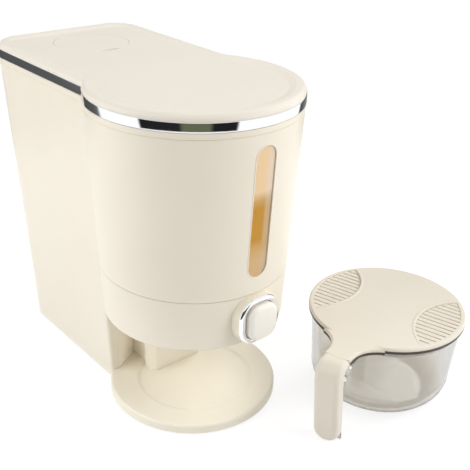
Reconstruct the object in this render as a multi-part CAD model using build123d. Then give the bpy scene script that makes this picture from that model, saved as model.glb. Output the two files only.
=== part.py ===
"""Rice storage box: a drum and column over a tray, with a push-button slide gate and a lidded cup.

Millimetres, +Z up, front towards -Y. The origin is on the floor, on the axis of the drum and tray.
"""
import os
from math import cos, pi, radians, sin, sqrt, tan

from build123d import *

# Body
RIM_Z = 299.5              # top edge of the body, where the lid sits
DRUM_Z = 96.0              # underside of the drum
SEAM_GAP = 0.5             # open line between body and drum base
DRUM_R_RIM = 95.0          # drum radius at the rim
DRUM_DRAFT = 9.8           # the drum is this much smaller at its underside
NECK_STEP = 16.5           # the column is this much narrower than the drum, each side, at the rim
FLANK_DRAFT = 17.0         # each flank comes in by this much down to the floor
FRONT_Y = 52.5             # front face of the column, behind the alcove
COLUMN_DEPTH = 176.5
REAR_R = 28.0              # rear corners of the column
PILLAR_R = 3.0             # front corners of the column
NECK_R = 5.0               # hollow where the drum runs into the column
WALL = 2.6
LINE_DROP = 5.5            # fine line below the rim
LINE_DEPTH = 0.5
LINE_HEIGHT = 0.8
DRUM_EDGE_R = 2.4          # rounding under the drum

# Fits
SLIDE_FIT = 0.3            # between pieces that move past each other
SEAT_FIT = 0.2             # between fixed pieces
TOUCH_FIT = 0.1            # between pieces clipped together

# Tray, base plate and feet
PAD_HEIGHT = 2.0
PAD_R = 18.0
PAD_INSET = 7.5            # pads to the tray's edge
PAD_TURN = 8.0             # degrees that the side pads sit behind the drum's axis
PAD_REAR_SIDE = 29.5       # centre of a rear pad to the column's flank
PAD_REAR_EDGE = 34.0       # and to its rear face
TRAY_STEP = 2.7            # the tray is this much smaller than the drum's underside
TRAY_HEIGHT = 8.7
TRAY_EDGE_R = 2.5
TRAY_FLOOR = 2.6
RECESS_EDGE = 24.5         # flat ring round the tray's recess
RECESS_SHIFT = 3.5         # recess's centre before the drum's axis
RECESS_DEPTH = 1.2
RECESS_SLOPE = 3.5         # width of the recess's sloping edge
TRAY_RIM = 3.0             # wall left round the hollow under the tray
PLATE = 2.0
BASE_SCREW_R = 1.6
SCREW_HEAD_R = 3.4
BASE_BOSS_R = 4.5
BASE_SCREW_INSET = 23.6    # front screws to the tray's edge
BASE_SCREW_TURN = 40.0     # degrees that they sit before the drum's axis
BASE_SCREW_SIDE = 23.5     # rear screws to the column's flank
BASE_SCREW_EDGE = 79.0     # and to its rear face

# Alcove wall
PILLAR = 7.5               # width of the pillars beside the alcove
PANEL_WALL = 2.4
POCKET_IN = 28.0           # inner corner to the pillar
POCKET_DEPTH = 15.0        # inner corner behind the pillar's face
POCKET_BOW = 0.9           # bow of the swept wall before a straight line
BLOCK_WING = 5.0           # block beyond the pocket's inner corner
BLOCK_SIDE = 9.0           # depth of the block's flat sides
BLOCK_DEPTH = 27.0         # block before the pillar's face
BLOCK_FACET = 4.8          # cut across the block's front corners

# Window
WINDOW_HALF = 10.4
WINDOW_FOOT = 16.5         # window above the parting line
WINDOW_HEAD = 10.5         # window below the fine line
LENS_SET_BACK = 1.1
LENS_WALL = 2.0
LENS_FLANGE = 3.5

# Button
BUTTON_WIDTH = 30.6
BUTTON_HEIGHT = 33.6
BUTTON_CORNER = 10.6
BUTTON_PROUD = 7.4         # button before its ring
BUTTON_TRAVEL = 10.0
BUTTON_WALL = 2.2
BUTTON_CROWN_R = 115.0     # crown of the button's front
BUTTON_DOME_R = 4.0
BUTTON_FLANGE = 1.8
RING_BORDER = 5.8          # ring above and below the button
RING_FOOT_GAP = 3.9        # ring above the drum's underside
RING_SEAM_GAP = 1.4        # ring below the parting line
RING_CORNER = 18.4
RING_STAND = 8.0           # ring before the drum's surface at the parting line
RING_DEPTH = 3.0
RING_ROUND = 2.4
SLEEVE_DEPTH = 7.2         # button's sleeve behind the drum's surface at its underside
ROD_SEAT = 5.5             # rod reaches this far into the sleeve

# Gate and its guide
GATE_THICKNESS = 3.0
GATE_LAP = 11.0            # gate beside the outlet
GATE_REACH = 28.0          # gate before and behind the outlet's centre
OUTLET_WIDTH = 40.0
OUTLET_Y = -14.0           # centre of the outlet
RAIL_GRIP = 2.5            # rail over the gate's edge
RAIL_WALL = 3.0            # rail outside the gate's edge
RAIL_ABOVE = 4.5           # rail height above the gate
RAIL_START = 2.0           # rails start behind the gate's front edge
SPRING_ROOM = 22.0         # gate to bridge at rest
BRIDGE = 4.0
LUG_HALF = 8.0
LUG_THICKNESS = 3.0
LUG_REACH = 4.0            # above and below the gate's plate
SPRING_R = 4.0
SPRING_WIRE = 0.9
SPRING_TURNS = 8
PIN_R = 2.5
PIN_LENGTH = 4.0
ROD_HALF = 6.0
ROD_HEIGHT = 8.0
TONGUE_HALF = 5.0
TONGUE = 6.0
BUTTON_BOSS_R = 8.0

# Hopper and chute
THROAT_WALL = 2.5
CHUTE_PLAY = 1.5           # the chute is wider than the throat by this on each side
CHUTE_DROP = 1.0           # the spout stands below the drum
CHUTE_FLANGE = 7.0
HOPPER_RISE = 5.5          # top of the throat above the parting line
SHEET = 2.5
SLOPE_FRONT = 12.0
SLOPE_SIDE = 18.0
SLOPE_REAR = 22.0
FLANGE = 2.5

# Lid
BAND_LOW = 0.3             # the band starts this far above the rim
BAND_HEIGHT = 8.4
BAND_PROUD = 0.4
BAND_WALL = 2.0
SHOULDER = 5.8             # lid above its band
LID_ROUND = 4.5
LID_PANEL = 3.0
DISH_DEPTH = 1.6
DISH_EDGE = 9.0            # the dish starts this far in from the edge
DISH_SLOPE = 6.0
PLUG_GAP = 1.4             # plug to the body's wall
PLUG_WALL = 2.2
PLUG_DEPTH = 11.5
SEAL_HEIGHT = 4.0
SEAL_DROP = 3.5            # seal below the rim

# Cap and basket
CAP_BACK = 63.0            # cap's centre to the rear face
CAP_R = 36.7
CAP_THICKNESS = 3.6
CAP_EDGE_R = 0.6
NOTCH_HALF = 14.0
NOTCH_DEPTH = 4.2
NOTCH_DROP = 2.6
BASKET_STEP = 4.3          # basket smaller than the cap
BASKET_WALL = 1.5
BASKET_DEPTH = 38.0
BASKET_FLANGE = 1.2
BASKET_SLOTS = 18
BASKET_SLOT_WIDTH = 3.0
BASKET_SLOT_HEIGHT = 24.0
LEDGE = 3.0                # ledge under the basket's flange
COLLAR_WALL = 3.0

# Cup
CUP_SIDE = 55.5            # cup's axis beside the drum
CUP_FRONT = 21.0           # and before it
HANDLE_ANGLE = 196.0
BOWL_LOW_R = 69.0          # bowl above its rounded foot
BOWL_FLARE = 4.0           # the rim is this much wider
BOWL_BEND = 24.0           # the flat base is this much smaller
BOWL_LOW_Z = 28.0
BOWL_RIM_Z = 85.0
BOWL_WALL = 2.6
BOWL_FLOOR = 3.2
CUP_LID_LIP = 3.0          # lid beyond the bowl's rim
CUP_LID_HEIGHT = 7.5
CUP_LID_CROWN = 1.5
CUP_LID_PANEL = 3.0
CUP_LID_ROUND = 1.8
CUP_PLUG_WALL = 2.0
CUP_PLUG_DEPTH = 6.0
TRIM_HEIGHT = 2.8
TAB_REACH = 32.0           # tab beyond the lid
TAB_HALF = 12.5
TAB_FLARE = 31.0           # half width where the tab leaves the lid
TAB_BOW = 3.0              # the tab's end bows outward by this
TAB_NECK = 11.0            # the flare ends this far outside the lid
STRAP = 4.4
STRAP_WIDTH = 23.0
GRIP_REACH = 18.0          # handle beyond the tab
GRIP_THICKNESS = 11.0
GRIP_LEAN = 7.0            # degrees that the handle leans in towards its foot
GRIP_WIDTH = 25.0
GRIP_BEND = 16.0
STRAP_BEND = 7.0           # outer bend of the strap
STRAP_HOLLOW = 22.0        # its inner bend
GRIP_LOW = 2.0
GRIP_ROUND = 5.0
SLOT_COUNT = 13
SLOT_PITCH = 6.4
SLOT_WIDTH = 1.5
FIELD_MARGIN = 4.5         # slot field to the lid's edge
FIELD_DEPTH = 37.0
FIELD_HALF = 45.0          # half length of a slot field
FIELD_SINK = 0.6

BIG = 400.0                # reach of cutting tools

# Body, worked out
DRUM_R_FOOT = DRUM_R_RIM - DRUM_DRAFT
COLUMN_HALF_RIM = DRUM_R_RIM - NECK_STEP
COLUMN_HALF_FOOT = COLUMN_HALF_RIM - FLANK_DRAFT
BACK_Y = FRONT_Y + COLUMN_DEPTH
LINE_Z = RIM_Z - LINE_DROP


def drum_radius(z):
    """Radius of the tapered drum at height z."""
    return DRUM_R_FOOT + (DRUM_R_RIM - DRUM_R_FOOT) * (z - DRUM_Z) / (RIM_Z - DRUM_Z)


def flank_x(z):
    """Half width of the tapered column at height z."""
    return COLUMN_HALF_FOOT + (COLUMN_HALF_RIM - COLUMN_HALF_FOOT) * z / RIM_Z


# Tray and alcove, worked out
TRAY_R = DRUM_R_FOOT - TRAY_STEP
TRAY_TOP = PAD_HEIGHT + TRAY_HEIGHT
RECESS_R = TRAY_R - RECESS_EDGE
PANEL_HALF = COLUMN_HALF_FOOT - PILLAR
POCKET_X = PANEL_HALF - POCKET_IN
POCKET_Y = FRONT_Y + POCKET_DEPTH
BLOCK_HALF = POCKET_X + BLOCK_WING
BLOCK_Y = FRONT_Y - BLOCK_DEPTH

# Button and parting line, worked out
RING_WIDTH = BUTTON_HEIGHT + 2 * RING_BORDER
BUTTON_Z = DRUM_Z + RING_FOOT_GAP + RING_WIDTH / 2
SEAM_Z = BUTTON_Z + RING_WIDTH / 2 + RING_SEAM_GAP
WINDOW_LOW = SEAM_Z + WINDOW_FOOT
WINDOW_HIGH = LINE_Z - WINDOW_HEAD
RING_FRONT_Y = -drum_radius(SEAM_Z) - RING_STAND
BUTTON_FRONT_Y = RING_FRONT_Y - BUTTON_PROUD
SLEEVE_Y = SLEEVE_DEPTH - DRUM_R_FOOT
ROD_Y = SLEEVE_Y - ROD_SEAT

# Gate and hopper, worked out
GATE_HALF = OUTLET_WIDTH / 2 + GATE_LAP
GATE_FRONT_Y = OUTLET_Y - GATE_REACH
GATE_REAR_Y = OUTLET_Y + GATE_REACH
GATE_Z = BUTTON_Z - GATE_THICKNESS / 2
GATE_TOP = GATE_Z + GATE_THICKNESS
RAIL_INNER = GATE_HALF - RAIL_GRIP
RAIL_OUTER = GATE_HALF + RAIL_WALL
RAIL_FRONT_Y = GATE_FRONT_Y + RAIL_START
RAIL_TOP = GATE_TOP + RAIL_ABOVE
BRIDGE_Y = GATE_REAR_Y + SPRING_ROOM
FLOOR_TOP = DRUM_Z + WALL
HOPPER_Z = SEAM_Z + HOPPER_RISE

# Lid, worked out
BAND_TOP = RIM_Z + BAND_LOW + BAND_HEIGHT
LID_TOP = BAND_TOP + SHOULDER
PANEL_TOP = LID_TOP - DISH_DEPTH
PLUG_OUTER = WALL + PLUG_GAP
PLUG_INNER = PLUG_OUTER + PLUG_WALL
CAP_Y = BACK_Y - CAP_BACK
BASKET_R = CAP_R - BASKET_STEP

# Cup, worked out
CUP_X = DRUM_R_RIM + CUP_SIDE
CUP_Y = -DRUM_R_RIM - CUP_FRONT
BOWL_RIM_R = BOWL_LOW_R + BOWL_FLARE
BOWL_BASE_R = BOWL_LOW_R - BOWL_BEND
CUP_LID_R = BOWL_RIM_R + CUP_LID_LIP
CUP_LID_TOP = BOWL_RIM_Z + CUP_LID_HEIGHT
TAB_END = CUP_LID_R + TAB_REACH
GRIP_OUTER = TAB_END + GRIP_REACH


def ring_of_edges(points, z):
    """Closed wire at height z; each entry is an end point, or a middle and an end point of an arc."""
    edges = []
    here = points[0]
    for step in points[1:]:
        start = Vector(*here, z)
        if len(step) == 2 and isinstance(step[0], tuple):
            edges.append(Edge.make_three_point_arc(start, Vector(*step[0], z), Vector(*step[1], z)))
            here = step[1]
        else:
            edges.append(Edge.make_line(start, Vector(*step, z)))
            here = step
    return Wire(edges)


def rear_corner(side, half, back, radius):
    """Middle and end points of a rear corner's arc, on one side."""
    bend = radius * (1 - cos(pi / 4))
    return (side * (half - bend), back - bend)


def keyhole(z, inset=0.0, level=None):
    """Wire at height z: the drum's circle run into the column, set in by inset, sized at level."""
    level = z if level is None else level
    r = drum_radius(level) - inset
    half = flank_x(level) - inset
    back = BACK_Y - inset
    corner = REAR_R - inset
    neck = NECK_R + inset
    neck_y = sqrt((r + neck) ** 2 - (half + neck) ** 2)
    share = r / (r + neck)
    touch = ((half + neck) * share, neck_y * share)
    lean = Vector(-1 - (half + neck) / (r + neck), -neck_y / (r + neck)).normalized()
    middle = (half + neck + neck * lean.X, neck_y + neck * lean.Y)
    start = (-touch[0], touch[1])
    return ring_of_edges([
        start,
        ((0.0, -r), touch),
        (middle, (half, neck_y)),
        (half, back - corner),
        (rear_corner(1, half, back, corner), (half - corner, back)),
        (corner - half, back),
        (rear_corner(-1, half, back, corner), (-half, back - corner)),
        (-half, neck_y),
        ((-middle[0], middle[1]), start),
    ], z)


def column(z, inset=0.0):
    """Wire at height z: the column alone, flat in front, set in by inset."""
    half = flank_x(z) - inset
    front = FRONT_Y + inset
    back = BACK_Y - inset
    corner = REAR_R - inset
    bend = PILLAR_R * (1 - cos(pi / 4))
    start = (PILLAR_R - half, front)
    return ring_of_edges([
        start,
        (half - PILLAR_R, front),
        ((half - bend, front + bend), (half, front + PILLAR_R)),
        (half, back - corner),
        (rear_corner(1, half, back, corner), (half - corner, back)),
        (corner - half, back),
        (rear_corner(-1, half, back, corner), (-half, back - corner)),
        (-half, front + PILLAR_R),
        ((bend - half, front + bend), start),
    ], z)


def keyhole_loft(low, high, inset=0.0):
    """Tapered solid of the whole body outline between two heights."""
    return Part() + Solid.make_loft([keyhole(low, inset), keyhole(high, inset)], True)


def column_loft(low, high, inset=0.0):
    """Tapered solid of the column between two heights."""
    return Part() + Solid.make_loft([column(low, inset), column(high, inset)], True)


def lid_prism(low, high, inset=0.0):
    """Upright solid of the outline at the rim, between two heights."""
    return extrude(Face(keyhole(low, inset, RIM_Z)), high - low, (0, 0, 1))


def block(x0, x1, y0, y1, z0, z1):
    """Box between two corners."""
    return Pos((x0 + x1) / 2, (y0 + y1) / 2, (z0 + z1) / 2) * Box(x1 - x0, y1 - y0, z1 - z0)


def mirrored_block(half_in, half_out, y0, y1, z0, z1):
    """Two boxes, one each side of the middle plane."""
    right = block(half_in, half_out, y0, y1, z0, z1)
    return right + mirror(right, Plane.YZ)


def tube_z(x, y, radius, low, high):
    """Upright round bar."""
    return Pos(x, y, low) * Cylinder(radius, high - low, align=(Align.CENTER, Align.CENTER, Align.MIN))


def bar_y(x, z, radius, y0, y1):
    """Round bar along Y."""
    return Pos(x, y0, z) * Rot(-90, 0, 0) * Cylinder(
        radius, y1 - y0, align=(Align.CENTER, Align.CENTER, Align.MIN))


def drum_cone(low, high, inset=0.0):
    """Solid of the drum alone between two heights, set in by inset."""
    return Pos(0, 0, low) * Cone(
        drum_radius(low) - inset, drum_radius(high) - inset, high - low,
        align=(Align.CENTER, Align.CENTER, Align.MIN))


def front_prism(sketch, y0, y1):
    """A sketch drawn in X and Z, carried from y0 to y1 (y0 behind y1)."""
    return extrude(Plane.XZ.offset(-y0) * sketch, y0 - y1)


def window_slot(grow):
    """Prism of the window slot, larger all round by grow."""
    height = WINDOW_HIGH - WINDOW_LOW + 2 * grow
    width = 2 * (WINDOW_HALF + grow)
    sketch = Pos(0, (WINDOW_LOW + WINDOW_HIGH) / 2) * SlotOverall(height, width, rotation=90)
    return front_prism(sketch, 0, -BIG)


def button_prism(grow, y0, y1):
    """Prism of the button's outline, larger all round by grow."""
    sketch = Pos(0, BUTTON_Z) * RectangleRounded(
        BUTTON_WIDTH + 2 * grow, BUTTON_HEIGHT + 2 * grow, BUTTON_CORNER + grow)
    return front_prism(sketch, y0, y1)


def collar_prism(y0, y1):
    """Prism of the collar round the button."""
    return front_prism(Pos(0, BUTTON_Z) * RectangleRounded(RING_WIDTH, RING_WIDTH, RING_CORNER), y0, y1)


def housing_screw_places():
    """X and Z of the screws between the drum base and the column."""
    low = FLOOR_TOP + 3 * BASE_SCREW_R + SCREW_HEAD_R
    high = SEAM_Z - 3 * SCREW_HEAD_R
    across = PANEL_HALF - SCREW_HEAD_R
    return [(side * across, z) for side in (-1, 1) for z in (low, high)]


def make_body_shell():
    """Upper drum and column in one wall, open at the top, below the drum and at the foot."""
    outer = keyhole_loft(SEAM_Z, RIM_Z) + column_loft(PAD_HEIGHT, SEAM_Z)
    drum_room = keyhole_loft(SEAM_Z, RIM_Z + 1, WALL)
    column_room = column_loft(PAD_HEIGHT - 1, SEAM_Z + 1, WALL)
    shell = outer - drum_room - column_room
    shell -= window_slot(0.0)
    shell -= block(-PANEL_HALF, PANEL_HALF, FRONT_Y - 1, FRONT_Y + WALL + 1, 0, DRUM_Z)
    line = keyhole_loft(LINE_Z, LINE_Z + LINE_HEIGHT, -1) - keyhole_loft(
        LINE_Z - 1, LINE_Z + LINE_HEIGHT + 1, LINE_DEPTH)
    shell -= line
    for x, z in housing_screw_places():
        shell -= bar_y(x, z, BASE_SCREW_R + TOUCH_FIT, FRONT_Y - 1, FRONT_Y + WALL + 1)
    return shell


def make_drum_base():
    """Lower housing: cup-shaped, flat behind, with the button's collar and a lip into the body."""
    top = SEAM_Z - SEAM_GAP
    rear = FRONT_Y - SEAT_FIT
    cup = drum_cone(DRUM_Z, top)
    cup = fillet(cup.edges().group_by(Axis.Z)[0], DRUM_EDGE_R)
    cup -= block(-BIG, BIG, rear, BIG, 0, BIG)
    room = drum_cone(FLOOR_TOP, top + 1, WALL) - block(-BIG, BIG, rear - WALL, BIG, 0, BIG)
    cup -= room
    lip_in = 2 * WALL + SEAT_FIT
    lip_top = SEAM_Z + 2 * WALL
    lip = drum_cone(top - WALL, lip_top, WALL + SEAT_FIT) - drum_cone(top - WALL - 1, lip_top + 1, lip_in)
    lip -= block(-BIG, BIG, rear - 6 * WALL, BIG, 0, BIG)
    cup += lip
    collar = collar_prism(SLEEVE_Y, RING_FRONT_Y + RING_DEPTH)
    cup += collar
    cup -= button_prism(SLIDE_FIT, 0, -BIG)
    hole_half = OUTLET_WIDTH / 2 + CHUTE_PLAY + THROAT_WALL + SEAT_FIT
    hole_y = BUTTON_TRAVEL / 2 + CHUTE_PLAY + THROAT_WALL + SEAT_FIT
    cup -= block(-hole_half, hole_half, OUTLET_Y - hole_y, OUTLET_Y + hole_y, DRUM_Z - 1, FLOOR_TOP + 1)
    for x, z in housing_screw_places():
        cup -= bar_y(x, z, BASE_SCREW_R + TOUCH_FIT, rear - WALL - 1, rear + 1)
    return cup


def alcove_line(offset):
    """Right half of the alcove wall in plan, moved back by offset: the block's corners, then the end arc.

    The corners run from the front over the facet and the flat side, turn in behind it to the pocket's
    inner wall, and end in the pocket.
    """
    front = BLOCK_Y + offset
    half = BLOCK_HALF - offset
    inner = POCKET_X - offset
    facet = BLOCK_FACET - offset * tan(pi / 8)
    side_end = BLOCK_Y + BLOCK_FACET + BLOCK_SIDE - offset * tan(pi / 8)
    corners = [
        (half - facet, front),
        (half, front + facet),
        (half, side_end),
        (inner, side_end + BLOCK_WING),
        (inner, POCKET_Y + offset),
    ]
    end = (PANEL_HALF - TOUCH_FIT, FRONT_Y + offset)
    bow = ((end[0] + POCKET_X) / 2, (FRONT_Y + POCKET_Y) / 2 - POCKET_BOW + offset)
    return corners, (bow, end)


def block_footprint(grow, high):
    """Upright solid of the central block's plan up to a height, larger all round by grow."""
    corners, _ = alcove_line(-grow)
    first = (0.0, corners[0][1])
    last = (0.0, corners[-1][1])
    right = extrude(Face(ring_of_edges([first, *corners, last, first], 0.0)), high, (0, 0, 1))
    return right + mirror(right, Plane.YZ)


def make_alcove_panel():
    """Wall of the alcove: swept-back ends, pockets and the central block, hollow behind."""
    low = TRAY_TOP + TOUCH_FIT
    face, face_end = alcove_line(0.0)
    back, _ = alcove_line(PANEL_WALL)
    flange_x = flank_x(low) - WALL - PILLAR_R
    flange_y = FRONT_Y + WALL + TOUCH_FIT
    end_y = flange_y + PANEL_WALL
    half_wall = ring_of_edges([
        (0.0, face[0][1]),
        *face,
        face_end,
        (face_end[1][0], flange_y),
        (flange_x, flange_y),
        (flange_x, end_y),
        (face_end[1][0] - PANEL_WALL, end_y),
        (POCKET_X, POCKET_Y + PANEL_WALL),
        *reversed(back),
        (0.0, back[0][1]),
        (0.0, face[0][1]),
    ], low)
    right = extrude(Face(half_wall), DRUM_Z - TOUCH_FIT - low, (0, 0, 1))
    return right + mirror(right, Plane.YZ)


def tray_outline(low, high, inset):
    """Upright solid of the tray: the disc in front, a neck between the pillars, the foot in the column."""
    disc = tube_z(0, 0, TRAY_R - inset, low, high)
    disc -= block(-BIG, BIG, FRONT_Y - SEAT_FIT - inset, BIG, 0, BIG)
    neck_half = PANEL_HALF - SEAT_FIT - inset
    neck = block(-neck_half, neck_half, FRONT_Y - WALL - inset - 1, FRONT_Y + 2 * WALL + inset + 1, low, high)
    foot = Solid.make_loft([column(low, WALL + SEAT_FIT + inset), column(high, WALL + SEAT_FIT + inset)], True)
    return disc + neck + foot


def base_screw_places():
    """X and Y of the base plate's screws."""
    ring = TRAY_R - BASE_SCREW_INSET
    turn = radians(BASE_SCREW_TURN)
    front = (ring * cos(turn), -ring * sin(turn))
    rear = (COLUMN_HALF_FOOT - BASE_SCREW_SIDE, BACK_Y - BASE_SCREW_EDGE)
    return [(side * x, y) for x, y in (front, rear) for side in (-1, 1)]


def make_base_tray():
    """Tray and foot in one moulding, hollow below, with a round recess and four screw bosses."""
    tray = tray_outline(PAD_HEIGHT, TRAY_TOP, 0.0)
    disc_edges = tray.edges().filter_by(GeomType.CIRCLE).filter_by(
        lambda edge: abs(edge.radius - TRAY_R) < 0.01)
    tray = fillet(disc_edges.group_by(Axis.Z)[-1], TRAY_EDGE_R)
    tray -= tray_outline(PAD_HEIGHT - 1, TRAY_TOP - TRAY_FLOOR, TRAY_RIM)
    recess = Pos(0, -RECESS_SHIFT, TRAY_TOP - RECESS_DEPTH) * Cone(
        RECESS_R - RECESS_SLOPE, RECESS_R, RECESS_DEPTH, align=(Align.CENTER, Align.CENTER, Align.MIN))
    recess -= block(-BIG, BIG, FRONT_Y - SEAT_FIT - TRAY_RIM, BIG, 0, BIG)
    tray -= recess - block_footprint(SEAT_FIT, TRAY_TOP)
    for x, y in base_screw_places():
        boss = tube_z(x, y, BASE_BOSS_R, PAD_HEIGHT + PLATE, TRAY_TOP - TRAY_FLOOR + TOUCH_FIT)
        boss -= tube_z(x, y, BASE_SCREW_R + TOUCH_FIT, PAD_HEIGHT, TRAY_TOP - TRAY_FLOOR)
        tray += boss
    return tray


def make_base_plate():
    """Flat cover let into the underside of the tray, with countersunk holes."""
    plate = tray_outline(PAD_HEIGHT, PAD_HEIGHT + PLATE, TRAY_RIM + SEAT_FIT)
    for x, y in base_screw_places():
        plate -= Pos(x, y, PAD_HEIGHT) * Cone(
            SCREW_HEAD_R + TOUCH_FIT, BASE_SCREW_R + TOUCH_FIT, PLATE,
            align=(Align.CENTER, Align.CENTER, Align.MIN))
    return plate


def make_base_screws():
    """Four countersunk screws from below."""
    screws = []
    for x, y in base_screw_places():
        head = Pos(x, y, PAD_HEIGHT) * Cone(
            SCREW_HEAD_R, BASE_SCREW_R, PLATE, align=(Align.CENTER, Align.CENTER, Align.MIN))
        shank = tube_z(x, y, BASE_SCREW_R, PAD_HEIGHT + PLATE / 2, TRAY_TOP - TRAY_FLOOR - 1)
        screws.append(head + shank)
    return Compound(children=[screw.solid() for screw in screws])


def make_foot_pads():
    """Six round pads under the base plate: one in the middle of the tray, five round the outside."""
    ring = TRAY_R - PAD_R - PAD_INSET
    turn = radians(PAD_TURN)
    places = [(0, 0), (0, -ring)]
    for side in (-1, 1):
        places.append((side * ring * cos(turn), ring * sin(turn)))
        places.append((side * (COLUMN_HALF_FOOT - PAD_REAR_SIDE), BACK_Y - PAD_REAR_EDGE))
    pads = []
    for x, y in places:
        pad = tube_z(x, y, PAD_R, 0, PAD_HEIGHT)
        pads.append(fillet(pad.edges().group_by(Axis.Z)[0], PAD_HEIGHT / 4).solid())
    return Compound(children=pads)


def make_housing_screws():
    """Four screws from inside the drum base into the column's front wall."""
    seat = FRONT_Y - SEAT_FIT - WALL
    screws = []
    for x, z in housing_screw_places():
        head = bar_y(x, z, SCREW_HEAD_R, seat - SCREW_HEAD_R / 2, seat)
        shank = bar_y(x, z, BASE_SCREW_R, seat - SCREW_HEAD_R / 2, FRONT_Y + 2 * WALL)
        screws.append((head + shank).solid())
    return Compound(children=screws)


def make_window_lens():
    """Strip that follows the drum, let into the slot, with a flange behind the wall."""
    low = WINDOW_LOW - 2 * LENS_FLANGE
    high = WINDOW_HIGH + 2 * LENS_FLANGE
    back = WALL + TOUCH_FIT
    strip = drum_cone(low, high, LENS_SET_BACK) - drum_cone(low, high, back + LENS_WALL)
    strip &= window_slot(-TOUCH_FIT)
    flange = drum_cone(low, high, back) - drum_cone(low, high, back + LENS_WALL)
    flange &= window_slot(LENS_FLANGE)
    return strip + flange


def make_button_ring():
    """Bezel on the collar, rounded in front."""
    rear = RING_FRONT_Y + RING_DEPTH
    ring = collar_prism(rear, RING_FRONT_Y) - button_prism(SLIDE_FIT, 0, -BIG)
    front_edges = ring.edges().group_by(Axis.Y)[0]
    return fillet(front_edges, RING_ROUND)


def make_push_button():
    """Hollow button with a crowned, rounded front, a boss for the rod and a flange behind the sleeve."""
    rear = SLEEVE_Y + SLIDE_FIT + BUTTON_FLANGE
    button = button_prism(0.0, rear, BUTTON_FRONT_Y)
    button &= Pos(0, BUTTON_FRONT_Y + BUTTON_CROWN_R, BUTTON_Z) * Sphere(BUTTON_CROWN_R)
    button = fillet(button.edges().group_by(Axis.Y)[0], BUTTON_DOME_R)
    flange = button_prism(BUTTON_FLANGE, rear, SLEEVE_Y + SLIDE_FIT)
    button += flange
    face = BUTTON_FRONT_Y + BUTTON_DOME_R
    button -= button_prism(-BUTTON_WALL, rear + 1, face)
    button += bar_y(0, BUTTON_Z, BUTTON_BOSS_R, face - 1, ROD_Y)
    return button


def make_push_rod():
    """Bar from the button's boss to the gate, forked over the gate's tongue."""
    low = BUTTON_Z - ROD_HEIGHT / 2
    rod = block(-ROD_HALF, ROD_HALF, ROD_Y, GATE_FRONT_Y - TOUCH_FIT, low, low + ROD_HEIGHT)
    fork = block(-TONGUE_HALF - TOUCH_FIT, TONGUE_HALF + TOUCH_FIT, GATE_FRONT_Y - TONGUE - TOUCH_FIT,
                 GATE_FRONT_Y, GATE_Z - TOUCH_FIT, GATE_TOP + TOUCH_FIT)
    return rod - fork


def make_gate():
    """Shutter plate with one opening, a tongue in front and a lug with a spring pin behind."""
    opening = OUTLET_Y - BUTTON_TRAVEL
    plate = block(-GATE_HALF, GATE_HALF, GATE_FRONT_Y, GATE_REAR_Y, GATE_Z, GATE_TOP)
    plate += block(-TONGUE_HALF, TONGUE_HALF, GATE_FRONT_Y - TONGUE, GATE_FRONT_Y, GATE_Z, GATE_TOP)
    plate -= block(-OUTLET_WIDTH / 2, OUTLET_WIDTH / 2, opening - BUTTON_TRAVEL / 2,
                   opening + BUTTON_TRAVEL / 2, GATE_Z - 1, GATE_TOP + 1)
    plate += block(-LUG_HALF, LUG_HALF, GATE_REAR_Y - LUG_THICKNESS, GATE_REAR_Y,
                   GATE_Z - LUG_REACH, GATE_TOP + LUG_REACH)
    plate += bar_y(0, BUTTON_Z, PIN_R, GATE_REAR_Y, GATE_REAR_Y + PIN_LENGTH)
    return plate


def make_gate_guide():
    """Two grooved rails on the drum's floor, joined by a bridge that holds the spring."""
    rear = BRIDGE_Y + BRIDGE
    guide = mirrored_block(RAIL_INNER, RAIL_OUTER, RAIL_FRONT_Y, rear, FLOOR_TOP, RAIL_TOP)
    guide -= block(-GATE_HALF - SLIDE_FIT, GATE_HALF + SLIDE_FIT, RAIL_FRONT_Y - 1, BRIDGE_Y,
                   GATE_Z - SLIDE_FIT, GATE_TOP + SLIDE_FIT)
    guide += block(-RAIL_INNER - 1, RAIL_INNER + 1, BRIDGE_Y, rear, FLOOR_TOP, RAIL_TOP)
    guide += bar_y(0, BUTTON_Z, PIN_R, BRIDGE_Y - PIN_LENGTH, BRIDGE_Y)
    return guide


def make_return_spring():
    """Compression spring between the gate's lug and the bridge."""
    start = GATE_REAR_Y + SPRING_WIRE
    length = BRIDGE_Y - SPRING_WIRE - start
    path = Wire(Edge.make_helix(length / SPRING_TURNS, length, SPRING_R))
    section = Plane(path @ 0, z_dir=path % 0) * Circle(SPRING_WIRE / 2)
    coil = sweep(section, path, is_frenet=True)
    return Pos(0, start, BUTTON_Z) * Rot(-90, 0, 0) * coil


def make_outlet_chute():
    """Short square spout through the drum's floor, with a flange on the floor."""
    half_x = OUTLET_WIDTH / 2 + CHUTE_PLAY
    half_y = BUTTON_TRAVEL / 2 + CHUTE_PLAY
    low = DRUM_Z - CHUTE_DROP
    high = GATE_Z - SLIDE_FIT
    outer = block(-half_x - THROAT_WALL, half_x + THROAT_WALL, OUTLET_Y - half_y - THROAT_WALL,
                  OUTLET_Y + half_y + THROAT_WALL, low, high)
    flange_x = min(half_x + CHUTE_FLANGE, RAIL_INNER - SEAT_FIT)
    flange_y = half_y + CHUTE_FLANGE
    outer += block(-flange_x, flange_x, OUTLET_Y - flange_y, OUTLET_Y + flange_y,
                   FLOOR_TOP, FLOOR_TOP + FLANGE)
    return outer - block(-half_x, half_x, OUTLET_Y - half_y, OUTLET_Y + half_y, low - 1, high + 1)


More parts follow.
